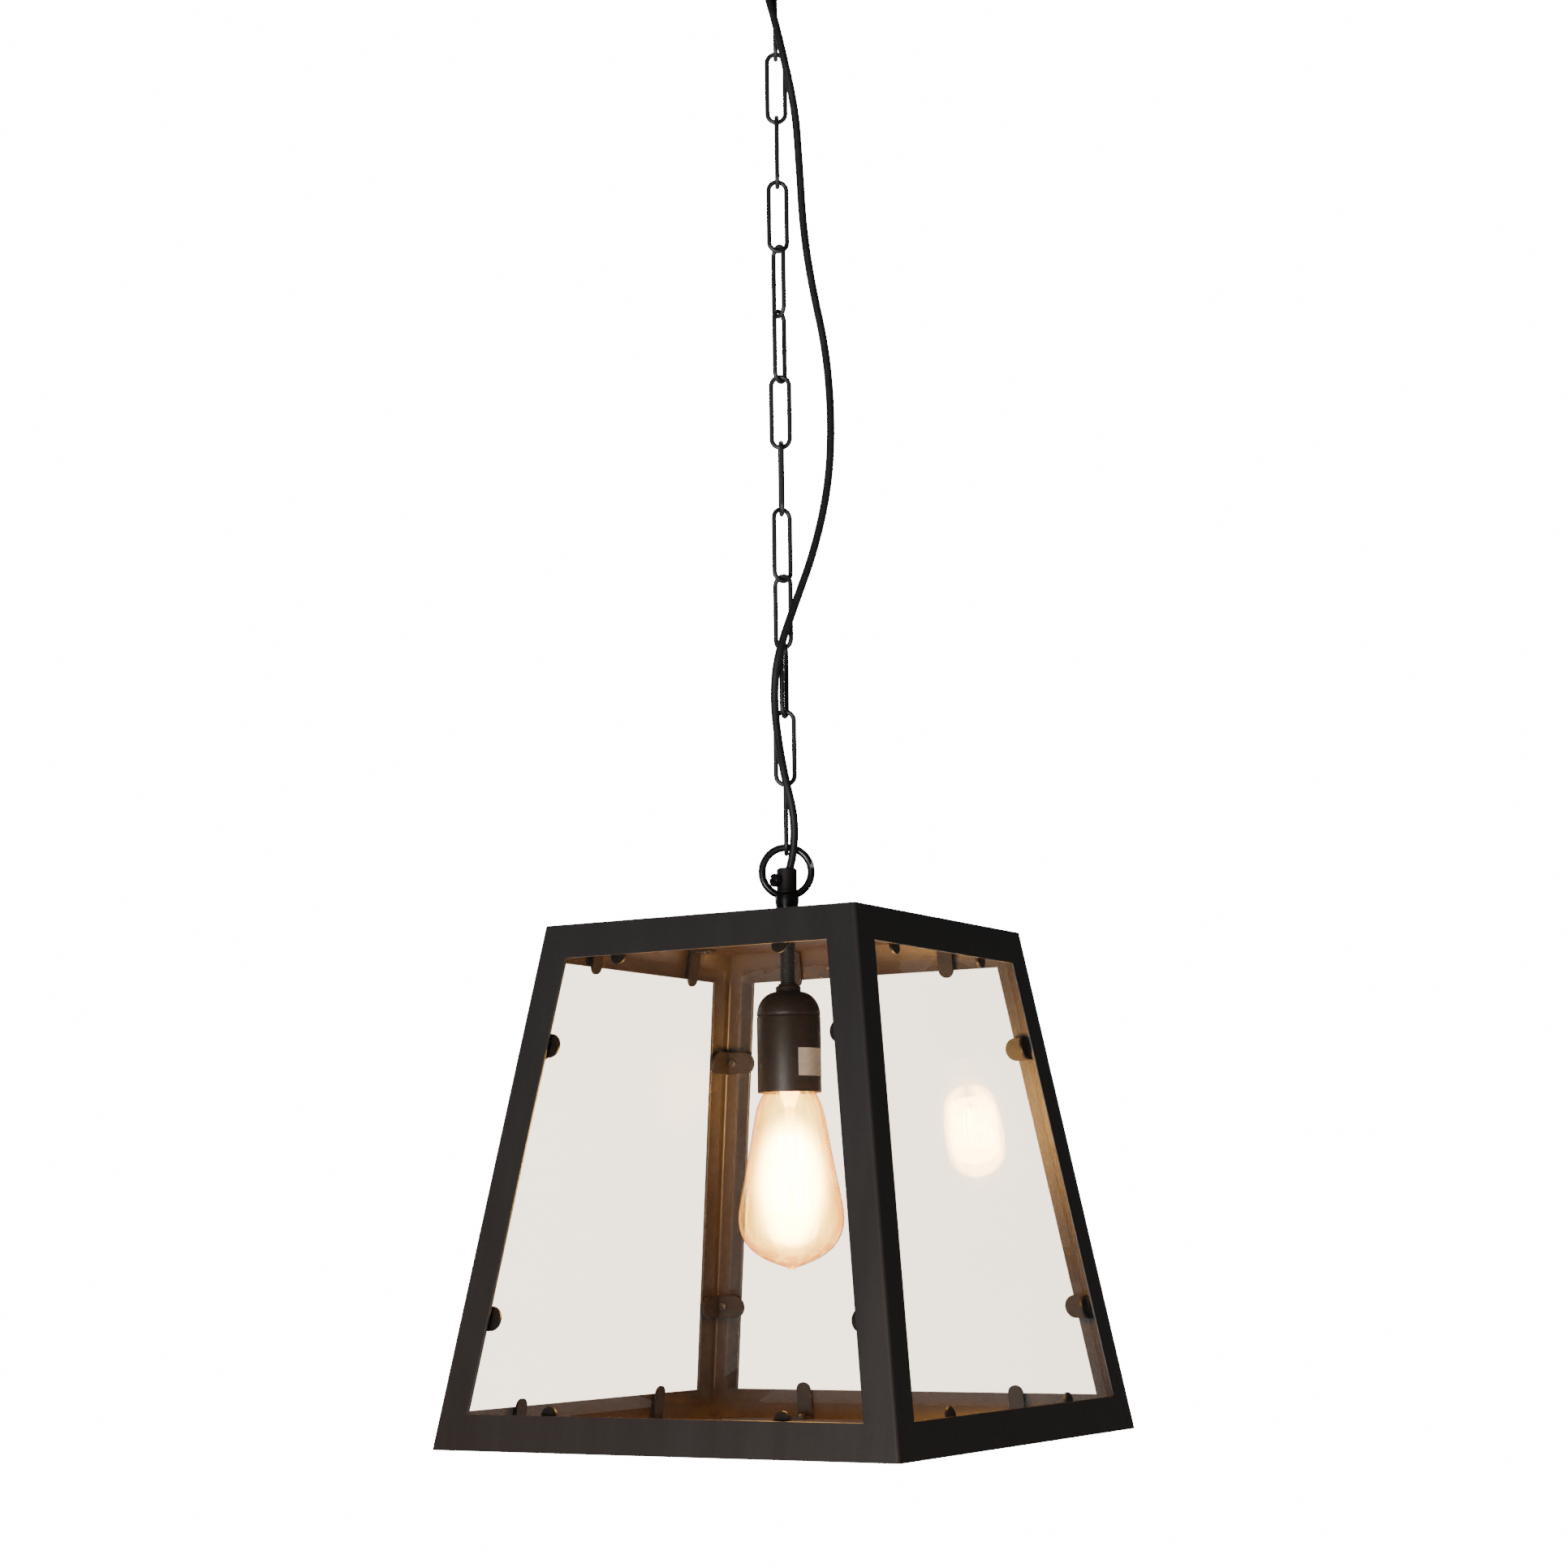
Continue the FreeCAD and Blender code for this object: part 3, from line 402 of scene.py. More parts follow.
def link_iron(name, rough, bare):
    """Blackened iron, with bare specks where links and rings rub."""
    finish = Finish(name, Specular_IOR_Level=0.5)
    worn = finish.ramp(finish.noise(420.0, 4.0, 0.7), 0.66, 0.78) * bare
    finish.feed({
        "Base Color": finish.blend(
            worn,
            finish.blend(finish.noise(50.0, 4.0), (0.0075, 0.007, 0.0065), (0.016, 0.0135, 0.012)),
            (0.20, 0.18, 0.16),
        ),
        "Roughness": rough + finish.noise(600.0) * 0.25,
        "Metallic": worn * 0.9,
        "Normal": finish.bump(finish.noise(800.0, 3.0), 0.00006, 0.6),
    })
    return finish


chain_iron = link_iron("chain_iron", 0.36, 0.4)
EYE_RADIUS, EYE_WIRE = 0.010, 0.002
STUD_RADIUS, STUD_PITCH = 0.004, 0.00125
STUD_ROOT = STUD_RADIUS * 0.88
hook_low, hook_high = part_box("hook")
eye_middle = UP * (hook_low.z + EYE_RADIUS + EYE_WIRE)
hook = threaded(eye_middle.z + EYE_RADIUS, hook_high.z, STUD_RADIUS, STUD_ROOT, STUD_PITCH)
sweep(hook, ring_points(eye_middle, EYE_RADIUS, 48), EYE_WIRE, 20, closed=True)
bmesh.ops.recalc_face_normals(hook, faces=hook.faces)
make_piece("hook_eye", hook, chain_iron, "canopy", ("hook",))


def hex_nut(name, radius, node, finish, body):
    """A six-sided nut with softened edges, as high as its CAD node."""
    low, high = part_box(node)
    work = bmesh.new()
    bmesh.ops.create_cone(
        work, cap_ends=True, segments=6, radius1=radius, radius2=radius, depth=high.z - low.z,
        matrix=Matrix.Translation((0, 0, (low.z + high.z) / 2)),
    )
    make_piece(name, soften(work, 0.0006, 3), finish, body, (node,))


hex_nut("hook_hex_nut", 0.0075, "hook_nut", chain_iron, "canopy")

# Chain. Thirteen long links bent from 2.9 mm wire, butted and resistance welded at the middle of one side,
# then blackened. Each hangs in the one above, turned about a quarter turn.
LINK_WIRE, LINK_ARC = 0.00145, 0.0056
# How far each link is turned from the first direction, in degrees, from the lowest up.
LINK_TURNS = (-450, -360, -285, -215, -150, -85, -7, 58, 123, 188, 270, 360, 450)
LINK_BODIES = ["bottom_link", *["chain"] * 10, "second_link", "top_link"]
# Along the welded side: how far up it, and how thick the wire is there.
WELD = (
    (0.03, 1.0), (0.30, 1.0), (0.44, 1.03), (0.475, 1.09), (0.493, 1.05), (0.5, 0.84), (0.507, 1.05),
    (0.525, 1.09), (0.56, 1.03), (0.70, 1.0), (0.97, 1.0),
)
BEND_STEPS = 14
for number, (turn, body) in enumerate(zip(LINK_TURNS, LINK_BODIES, strict=True), 1):
    node = f"chain_link_{number:02d}"
    low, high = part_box(node)
    middle_low, middle_high = low.z + LINK_WIRE + LINK_ARC, high.z - LINK_WIRE - LINK_ARC
    straight = middle_high - middle_low
    facing_turn = HANG_TURN + math.radians(turn)
    side = Vector((math.cos(facing_turn), math.sin(facing_turn), 0))
    bend = [math.pi * i / BEND_STEPS for i in range(BEND_STEPS + 1)]
    points = [side * (LINK_ARC * math.cos(a)) + UP * (middle_high + LINK_ARC * math.sin(a)) for a in bend]
    points += [side * -LINK_ARC + UP * (middle_high - straight * i / 4) for i in (1, 2, 3)]
    points += [side * (LINK_ARC * -math.cos(a)) + UP * (middle_low - LINK_ARC * math.sin(a)) for a in bend]
    widths = [LINK_WIRE] * len(points)
    points += [side * LINK_ARC + UP * (middle_low + straight * share) for share, _ in WELD]
    widths += [LINK_WIRE * thick for _, thick in WELD]
    link = bmesh.new()
    sweep(link, points, widths, 16, closed=True)
    bmesh.ops.recalc_face_normals(link, faces=link.faces)
    make_piece(f"wire_link_{number:02d}", link, chain_iron, body, (node,))

# Loop hub. A ring of 4.5 mm wire brazed to a flared foot that screws on the stem. Gloss black, with a patch
# worn bright on the ring's right side.
RING_RADIUS, RING_WIRE = 0.01485, 0.00225
ring_middle = UP * (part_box("loop_hub")[1].z - RING_WIRE - RING_RADIUS)
# The foot's outline: radius, and height above the frame's top, in millimetres.
HUB_OUTLINE = (
    (3.2, 14.0), (4.75, 14.0), (4.75, 0.0), (7.2, 0.0), (7.2, 1.2), (6.0, 3.2), (5.9, 5.5), (6.0, 8.0),
    (6.4, 12.0), (7.2, 17.0), (7.2, 20.9), (6.2, 21.9), (3.2, 21.9),
)
hub = soften(lathe([(radius / 1000, FRAME_TOP + up / 1000) for radius, up in HUB_OUTLINE], 64), 0.0003)
# The wire's ends are inside the foot's flare, this far out from its middle.
RING_END_OUT = 0.0050
gap = math.acos(RING_END_OUT / RING_RADIUS)
sweep(hub, ring_points(ring_middle, RING_RADIUS, 72, -gap, math.pi + gap), RING_WIRE, 20)
bmesh.ops.recalc_face_normals(hub, faces=hub.faces)
gloss_black = Finish("ring_gloss", Coat_Roughness=0.1, Specular_IOR_Level=0.5)
wear_angle = math.radians(14)
wear_out, wear_up = RING_RADIUS * 1.08 * math.cos(wear_angle), RING_RADIUS * math.sin(wear_angle)
wear_point = ring_middle + ACROSS * wear_out + UP * wear_up
chips = gloss_black.noise(900.0, 4.0, 0.7)
bare = gloss_black.ramp(gloss_black.near(wear_point, 0.0044) + chips * 0.5, 0.62, 0.74)
specks = gloss_black.ramp(gloss_black.noise(520.0, 3.0, 0.7), 0.69, 0.75) * 0.35
speckled = gloss_black.blend(specks, (0.008, 0.007, 0.0065), (0.22, 0.20, 0.18))
gloss_black.feed({
    "Base Color": gloss_black.blend(bare, speckled, (0.86, 0.84, 0.82)),
    "Metallic": bare * 0.5,
    "Roughness": 0.24 + chips * 0.2,
    "Coat Weight": 0.3 - bare * 0.3,
    "Normal": gloss_black.bump(chips - bare * 0.6, 0.00012, 0.6),
})
make_piece("hanging_ring", hub, gloss_black, "lantern", ("loop_hub",))

# Cord grip. A moulded sleeve of dark brown plastic with a mouth where the cord comes in at its front, and a
# slotted screw in its side that pinches the cord.
grip_plastic = Finish("grip_plastic", Specular_IOR_Level=0.35)
grip_plastic.feed({
    "Base Color": grip_plastic.blend(
        grip_plastic.noise(180.0, 4.0), (0.012, 0.009, 0.008), (0.024, 0.016, 0.013)
    ),
    "Roughness": 0.46 + grip_plastic.noise(700.0) * 0.2,
    "Normal": grip_plastic.bump(grip_plastic.noise(1300.0, 4.0), 0.00010, 0.7),
})
coat(grip_plastic, "cord_grip")


def slotted_screw(head_radius, head_height, shaft_radius, shaft_length, slot_width, slot_depth):
    """A cheese-head screw that stands on its head's underside, with its shaft below and its slot on top."""
    work = bmesh.new()
    whole = {"cap_ends": True, "segments": 32}
    bmesh.ops.create_cone(
        work, radius1=head_radius, radius2=head_radius, depth=head_height,
        matrix=Matrix.Translation((0, 0, head_height / 2)), **whole,
    )
    top = [e for e in work.edges if min(v.co.z for v in e.verts) > head_height * 0.99]
    bmesh.ops.bevel(
        work, geom=top, offset=head_height * 0.22, offset_type="OFFSET", segments=3, profile=0.5,
        affect="EDGES", material=-1,
    )
    # The head is cut along both edges of the slot, and the strip between them is pushed down.
    for x in (-slot_width * 0.56, -slot_width * 0.5, slot_width * 0.5, slot_width * 0.56):
        bmesh.ops.bisect_plane(
            work, geom=work.verts[:] + work.edges[:] + work.faces[:], plane_co=(x, 0, 0),
            plane_no=(1, 0, 0), dist=1e-7,
        )
    for vert in work.verts:
        if abs(vert.co.x) < slot_width * 0.51:
            vert.co.z = min(vert.co.z, head_height - slot_depth)
    bmesh.ops.create_cone(
        work, radius1=shaft_radius, radius2=shaft_radius, depth=shaft_length,
        matrix=Matrix.Translation((0, 0, -shaft_length / 2)), **whole,
    )
    shape = bpy.data.meshes.new("screw_shape")
    work.to_mesh(shape)
    work.free()
    return shape


def put_copy(work, shape, matrix):
    """Adds a copy of a mesh to a bmesh, moved by a matrix."""
    before = len(work.verts)
    work.from_mesh(shape)
    work.verts.ensure_lookup_table()
    bmesh.ops.transform(work, matrix=matrix, verts=work.verts[before:])


def facing(point, way, spin=0.0):
    """The matrix that stands a screw on a point, its head pointing along a direction."""
    stood = UP.rotation_difference(way).to_matrix().to_4x4()
    return Matrix.Translation(point) @ stood @ Matrix.Rotation(spin, 4, "Z")


screw_iron = link_iron("screw_iron", 0.34, 0.8)
THUMB_TURN, THUMB_UP, THUMB_OUT, THUMB_SPIN = HANG_TURN + math.radians(213), 0.0295, 0.0067, math.radians(35)
thumb_way = Vector((math.cos(THUMB_TURN), math.sin(THUMB_TURN), 0))
thumb = bmesh.new()
thumb_shape = slotted_screw(
    head_radius=0.0040, head_height=0.0036, shaft_radius=0.0015, shaft_length=0.0039, slot_width=0.0011,
    slot_depth=0.0012,
)
thumb_seat = UP * (FRAME_TOP + THUMB_UP) + thumb_way * THUMB_OUT
put_copy(thumb, thumb_shape, facing(thumb_seat, thumb_way, THUMB_SPIN))
make_piece("grip_thumb_screw", thumb, screw_iron, "grip_screw", ("thumb_screw",))

# Frame. Eight mitred rails and four posts of 20 mm angle iron, welded, ground flush and painted a satin
# charcoal that turns browner towards the foot. Near the corners it is lighter, as wear and as a painted edge
# highlight, and its inside faces carry a painted shade, darker and browner. A sheet of the same closes the top.
TOP_HALF, FOOT_HALF, FRAME_HEIGHT = 0.1045, 0.151, 0.300
LEAN = (FOOT_HALF - TOP_HALF) / FRAME_HEIGHT
iron = Finish("frame_paint", Specular_IOR_Level=0.5)
height = iron.along("Z")
half_width = (FRAME_TOP - height) * LEAN + TOP_HALF
in_from_corner = half_width - abs(iron.along("X")).lower(abs(iron.along("Y")))
grain = iron.noise(950.0, 4.0, 0.7)
mottle = iron.noise(14.0, 5.0)
drawn = iron.noise(60.0, 4.0, 0.6, (1.0, 1.0, 0.08))
# Lighter, smoother paint near the corners: partly wear, partly a painted edge highlight.
worn_and_highlit_corner = iron.ramp(in_from_corner + mottle * 0.004, 0.0050, 0.0016)
foot = iron.ramp(height, FRAME_TOP - 0.07, FRAME_TOP - FRAME_HEIGHT)
outside = iron.blend(foot * 0.7 + mottle * 0.25, (0.0180, 0.0165, 0.0160), (0.0205, 0.0130, 0.0100))
in_from_face = half_width - abs(iron.along("X")).higher(abs(iron.along("Y")))
below_top = iron.ramp(height, FRAME_TOP - 0.0005, FRAME_TOP - 0.0015)
# Painted shade: the inside faces are coloured darker and browner than the outside.
painted_inside_shade = iron.ramp(in_from_face, 0.0008, 0.0024) * below_top
paint_with_inside_shade = iron.blend(painted_inside_shade, outside, (0.0200, 0.0112, 0.0074))
iron.feed({
    "Base Color": iron.blend(
        iron.ramp(grain, 0.60, 0.85) * 0.25 + worn_and_highlit_corner * 0.35, paint_with_inside_shade, (0.050, 0.034, 0.026)
    ),
    "Roughness": 0.26 + drawn * 0.22 + grain * 0.06 - worn_and_highlit_corner * 0.04,
    "Normal": iron.bump(grain + iron.noise(300.0, 2.0) * 0.7, 0.00005, 0.6),
})
SIDES = ("front", "right", "back", "left")
CORNERS = ("front_right", "back_right", "back_left", "front_left")
EDGE_ROUND, INNER_FILLET = 0.0006, 0.0013
LONG_EDGE = 0.05
# A rounded edge's first facet turns only 11 degrees, so the flats stay flat if all above 8 are sharp.
FLAT_CREASE = 8
coat(iron, "top_plate")


def rounded(name, node, keep_mitres):
    """A copy of an angle-iron node with its long edges rounded, and a fillet in its inner corner."""
    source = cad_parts[node]
    work = bmesh.new()
    work.from_mesh(source.data)
    work.transform(source.matrix_world)
    bmesh.ops.remove_doubles(work, verts=work.verts, dist=2e-5)
    bmesh.ops.dissolve_limit(work, angle_limit=math.radians(1), verts=work.verts, edges=work.edges)

    def on_mitre(edge):
        return keep_mitres and all(abs(abs(v.co.x) - abs(v.co.y)) < 2e-4 for v in edge.verts)

    between = [e for e in work.edges if len(e.link_faces) == 2]
    bends = [e for e in between if e.calc_length() > LONG_EDGE and not on_mitre(e)]
    outer = [e for e in bends if e.calc_face_angle_signed() > math.radians(30)]
    inner = [e for e in bends if e.calc_face_angle_signed() < -math.radians(30)]
    for edges, width in ((inner, INNER_FILLET), (outer, EDGE_ROUND)):
        bmesh.ops.bevel(
            work, geom=[e for e in edges if e.is_valid], offset=width, offset_type="OFFSET", segments=4,
            profile=0.5, affect="EDGES", material=-1, clamp_overlap=True,
        )
    bmesh.ops.recalc_face_normals(work, faces=work.faces)
    make_piece(name, work, iron, "lantern", (node,), FLAT_CREASE)


for level in ("top", "bottom"):
    for side_name in SIDES:
        rounded(f"angle_{level}_{side_name}", f"{level}_rail_{side_name}", True)
for corner in CORNERS:
    rounded(f"angle_{corner}", f"post_{corner}", False)

# Panes. Four cut sheets of clear float glass, 3 mm thick, that lie behind the flanges and are held there by
# the clips. They are a little warm, with faint wiping streaks that catch the light.
def sheen(finish, least):
    """How much a thin sheet of glass mirrors: the least seen square on, and more towards its edges."""
    edge_on = finish.node("ShaderNodeLayerWeight", {}, {"Blend": 0.5}, "Facing")
    return finish.node("ShaderNodeMath", {"operation": "POWER"}, {0: edge_on, 1: 5.0}) * (1.0 - least) + least


# How much the glass mirrors where it is seen square on.
SQUARE_ON = 0.04
pane = Finish("pane_glass")
smear = pane.noise(7.0, 4.0, 0.6, (1.0, 1.0, 0.4))
clear = pane.node("ShaderNodeBsdfTransparent", {}, {"Color": (0.985, 0.98, 0.972, 1)})
mirror = pane.node("ShaderNodeBsdfGlossy", {}, {"Color": (0.95, 0.92, 0.88, 1), "Roughness": 0.03})
mirrored = sheen(pane, SQUARE_ON) + smear * 0.01
surface = pane.node("ShaderNodeMixShader", {}, {0: mirrored, 1: clear, 2: mirror})
pane.put(pane.out, {"Surface": surface})
coat(pane, *[f"glass_{side}" for side in SIDES])

# Clips. Rounded lugs of 1.5 mm spring steel, blackened, that hold the panes against the flanges. Each
# corner clip has a screw beside the pane, and each rail clip one through its foot.
clip_steel = Finish("clip_steel", Metallic=0.2, Specular_IOR_Level=0.4)
heat = clip_steel.noise(220.0, 4.0)
clip_steel.feed({
    "Base Color": clip_steel.blend(heat, (0.0060, 0.0042, 0.0034), (0.0170, 0.0100, 0.0065)),
    "Roughness": 0.32 + heat * 0.2,
    "Normal": clip_steel.bump(clip_steel.noise(900.0), 0.00005, 0.6),
})
coat(clip_steel, "corner_clips_upper", "corner_clips_lower", "top_rail_clips", "bottom_rail_clips")
IRON_THICK, CLIP_THICK = 0.002, 0.0015
# The corner clips' depths below the frame's top, and their screws' places in from the two faces.
CORNER_CLIP_DEPTHS, CORNER_SCREW_IN, CORNER_SCREW_BACK = (0.071, 0.227), 0.0096, 0.0065
# The rail clips' screws: how far in they are, and how far to each side of the middle, above and below.
FOOT_SCREW_IN, TOP_SCREW_ASIDE, BOTTOM_SCREW_ASIDE = 0.013, 0.05434, 0.0755
side_shape, foot_shape = (
    slotted_screw(
        head_radius=0.0026, head_height=0.0018, shaft_radius=0.0015, shaft_length=shaft_length,
        slot_width=0.0008, slot_depth=0.0007,
    )
    for shaft_length in (0.0045, 0.0015)
)
screws = bmesh.new()
inwards = Vector((0, 1, -LEAN)).normalized()
for quarter in range(4):
    side_turn = Matrix.Rotation(quarter * math.pi / 2, 4, "Z")
    for depth in CORNER_CLIP_DEPTHS:
        half = TOP_HALF + LEAN * depth
        seat = Vector((half - CORNER_SCREW_IN, -(half - CORNER_SCREW_BACK), FRAME_TOP - depth))
        put_copy(screws, side_shape, side_turn @ facing(seat, inwards, quarter * 0.9 + depth * 9))
    for iron_depth, clip, aside, way in (
        (IRON_THICK, CLIP_THICK, TOP_SCREW_ASIDE, -UP),
        (FRAME_HEIGHT - IRON_THICK, -CLIP_THICK, BOTTOM_SCREW_ASIDE, UP),
    ):
        inset = TOP_HALF + LEAN * iron_depth - FOOT_SCREW_IN
        for sign in (-1, 1):
            seat = Vector((sign * aside, -inset, FRAME_TOP - iron_depth - clip))
            put_copy(screws, foot_shape, side_turn @ facing(seat, way, quarter + sign * 0.7))
make_piece("slotted_screws", screws, screw_iron, "lantern", ("clip_screws",))

# Stem. A threaded steel tube through the top plate, clamped by a nut below it, that carries the lamp holder.
STEM_RADIUS, STEM_PITCH = 0.00475, 0.0010
STEM_ROOT = STEM_RADIUS * 0.93
stem_low, stem_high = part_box("stem")
stem_finish = link_iron("stem_iron", 0.38, 0.5)
stem = threaded(stem_low.z, stem_high.z, STEM_RADIUS, STEM_ROOT, STEM_PITCH)
make_piece("threaded_stem", stem, stem_finish, "lantern", ("stem",))
hex_nut("stem_hex_nut", 0.0081, "stem_nut", stem_finish, "lantern")

# Lamp holder. Moulded in dark phenolic: a stepped collar and a dome that screws onto a plain skirt. Inside it
# a porcelain core holds the brass screw shell and the centre contact. A plain film label is on its side.
STEP_RADIUS, COLLAR_RADIUS, COLLAR_HEIGHT = 0.0060, 0.0075, 0.0049
HOLDER_RADIUS, HOLDER_WALL, LIP_IN = 0.0191, 0.0020, 0.0004
cap_low, cap_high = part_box("holder_cap")
skirt_low, skirt_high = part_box("holder_skirt")


def dome(inset):
    """The cap's quarter ellipse, inset by a wall's thickness, from the collar down to the skirt."""
    wide = HOLDER_RADIUS - COLLAR_RADIUS - inset
    tall = cap_high.z - COLLAR_HEIGHT - cap_low.z - inset
    angles = [math.radians(a) for a in range(0, 91, 9)]
    return [(COLLAR_RADIUS + wide * math.sin(a), cap_low.z + tall * math.cos(a)) for a in angles]


collar = [
    (STEM_RADIUS, cap_high.z), (STEP_RADIUS, cap_high.z), (STEP_RADIUS, cap_high.z - 0.0012),
    (COLLAR_RADIUS, cap_high.z - 0.0016), (COLLAR_RADIUS, cap_high.z - COLLAR_HEIGHT),
]
holder_cap = lathe([
    *collar, *dome(0)[1:], *reversed(dome(HOLDER_WALL)),
    (STEM_RADIUS, cap_high.z - COLLAR_HEIGHT - HOLDER_WALL),
])
inner = HOLDER_RADIUS - HOLDER_WALL
holder_skirt = lathe([
    (inner, skirt_high.z), (HOLDER_RADIUS - LIP_IN, skirt_high.z),
    (HOLDER_RADIUS - LIP_IN, skirt_high.z - 0.0006), (HOLDER_RADIUS, skirt_high.z - 0.0010),
    (HOLDER_RADIUS, skirt_low.z), (inner, skirt_low.z),
])
phenolic = Finish("holder_phenolic", Specular_IOR_Level=0.28, Coat_Roughness=0.25)
swirl = phenolic.noise(120.0, 5.0, 0.65)
phenolic.feed({
    "Base Color": phenolic.blend(swirl, (0.0110, 0.0062, 0.0042), (0.0250, 0.0135, 0.0085)),
    "Roughness": 0.40 + phenolic.noise(500.0) * 0.18,
    "Coat Weight": 0.04 + swirl * 0.08,
    "Normal": phenolic.bump(phenolic.noise(1100.0), 0.00004, 0.5),
})
for name, moulding, node in (
    ("holder_dome", holder_cap, "holder_cap"), ("holder_sleeve", holder_skirt, "holder_skirt"),
):
    make_piece(name, soften(moulding, 0.0004), phenolic, "lantern", (node,))
porcelain = Finish("core_porcelain", Specular_IOR_Level=0.5)
porcelain.feed({
    "Base Color": porcelain.blend(porcelain.noise(80.0), (0.66, 0.64, 0.60), (0.76, 0.74, 0.70)),
    "Roughness": 0.18 + porcelain.noise(300.0) * 0.2,
    "Normal": porcelain.bump(porcelain.noise(700.0), 0.00004, 0.4),
})
coat(porcelain, "holder_insert")


def plated(name, colour, dull, rough):
    """A plated or bare metal, a little tarnished in patches."""
    finish = Finish(name, Metallic=1.0)
    tarnish = finish.noise(160.0, 4.0, 0.6)
    finish.feed({
        "Base Color": finish.blend(finish.ramp(tarnish, 0.4, 0.7), colour, dull),
        "Roughness": rough + tarnish * 0.2,
        "Normal": finish.bump(finish.noise(1500.0), 0.00003, 0.5),
    })
    return finish


brass = plated("contact_brass", (0.80, 0.58, 0.28), (0.52, 0.36, 0.18), 0.20)
coat(brass, "thread_shell", "centre_contact")
film = Finish("label_film", Metallic=0.55)
crease = film.noise(240.0, 4.0, 0.6, (1.0, 1.0, 2.5))
film.feed({
    "Base Color": film.blend(crease, (0.56, 0.48, 0.40), (0.74, 0.66, 0.57)),
    "Roughness": 0.32 + crease * 0.25,
    "Normal": film.bump(crease, 0.00010, 0.6),
})
coat(film, "holder_label")

# Bulb cap. Thin nickel-plated brass rolled into a screw of 3.62 mm pitch, with a black glass foot that
# carries the centre tip.
CAP_RADIUS, THREAD_PITCH, THREAD_DEPTH = 0.0130, 0.00362, 0.0007
THREAD_START, THREAD_STEP, THREAD_STEPS = 0.0045, 0.0004, 40
bulb_cap_low, bulb_cap_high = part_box("bulb_cap")
rolled = []
for i in range(THREAD_STEPS):
    up = THREAD_START + i * THREAD_STEP
    depth = THREAD_DEPTH * (1 - math.cos(2 * math.pi * up / THREAD_PITCH)) / 2
    rolled.append((CAP_RADIUS - depth, bulb_cap_low.z + up))
bulb_cap = lathe([
    (0, bulb_cap_low.z), (CAP_RADIUS, bulb_cap_low.z), (CAP_RADIUS, bulb_cap_low.z + 0.0035), *rolled,
    (CAP_RADIUS - 0.0006, bulb_cap_high.z - 0.0022), (CAP_RADIUS - 0.0020, bulb_cap_high.z),
    (0, bulb_cap_high.z),
])
nickel = plated("cap_nickel", (0.66, 0.60, 0.50), (0.45, 0.40, 0.33), 0.22)
make_piece("rolled_cap", bulb_cap, nickel, "bulb", ("bulb_cap",))
vitrite = Finish("foot_vitrite", Specular_IOR_Level=0.6)
vitrite.feed({
    "Base Color": vitrite.blend(vitrite.noise(140.0), (0.006, 0.005, 0.008), (0.014, 0.011, 0.016)),
    "Roughness": 0.10 + vitrite.noise(500.0) * 0.15,
    "Normal": vitrite.bump(vitrite.noise(300.0), 0.00005, 0.4),
})
coat(vitrite, "bulb_foot")

# Bulb glass. Blown thin in a long pear shape and tinted amber, with a sealed pip at its foot. A painted glow
# fills it round the filament, and its skin has a painted glow of its own. The skin is one smooth surface,
# subdivided once it is turned.
# Its outline: radius, and depth below the frame's top, in millimetres.
GLASS_SIDE = (
    (0.0, 86.0), (11.0, 86.0), (12.1, 86.6), (12.3, 90.0), (13.0, 93.2), (16.0, 98.6), (18.6, 103.4),
    (20.8, 109.5), (23.7, 128.0), (27.5, 147.0), (30.7, 163.0), (32.1, 173.0), (30.3, 182.4),
    (24.8, 190.4), (16.4, 196.0), (7.7, 199.4), (3.2, 200.7), (2.2, 201.5), (1.1, 202.3), (0.0, 202.4),
)
bulb_glass = lathe([(radius / 1000, FRAME_TOP - depth / 1000) for radius, depth in GLASS_SIDE], 48)
amber = Finish("amber_glass")
streak = amber.noise(240.0, 4.0, 0.65, (1.0, 1.0, 0.06))
ripple_bump = amber.bump(streak, 0.0010, 0.5)
pale_tint = amber.node("ShaderNodeBsdfTransparent", {}, {"Color": (0.985, 0.86, 0.42, 1)})
deep_tint = amber.node("ShaderNodeBsdfTransparent", {}, {"Color": (0.86, 0.44, 0.09, 1)})
edge_on = amber.node("ShaderNodeLayerWeight", {}, {"Blend": 0.5}, "Facing")
towards_edge = amber.ramp(edge_on, 0.15, 0.80)
tinted = amber.node("ShaderNodeMixShader", {}, {0: towards_edge, 1: pale_tint, 2: deep_tint})
shine = amber.node(
    "ShaderNodeBsdfGlossy", {}, {"Color": (1.0, 0.92, 0.80, 1), "Roughness": 0.05, "Normal": ripple_bump}
)
# A painted glow on the skin: amber emission, strongest along the streaks, for the filament's light in the
# glass.
painted_skin_glow = amber.node("ShaderNodeEmission", {}, {"Color": (1.0, 0.60, 0.15, 1), "Strength": 9.0})
painted_glow_amount = amber.ramp(streak, 0.47, 0.66) * 0.26 + 0.03
tint_with_painted_glow = amber.node("ShaderNodeMixShader", {}, {0: painted_glow_amount, 1: tinted, 2: painted_skin_glow})
glass_surface = amber.node("ShaderNodeMixShader", {}, {0: sheen(amber, SQUARE_ON), 1: tint_with_painted_glow, 2: shine})
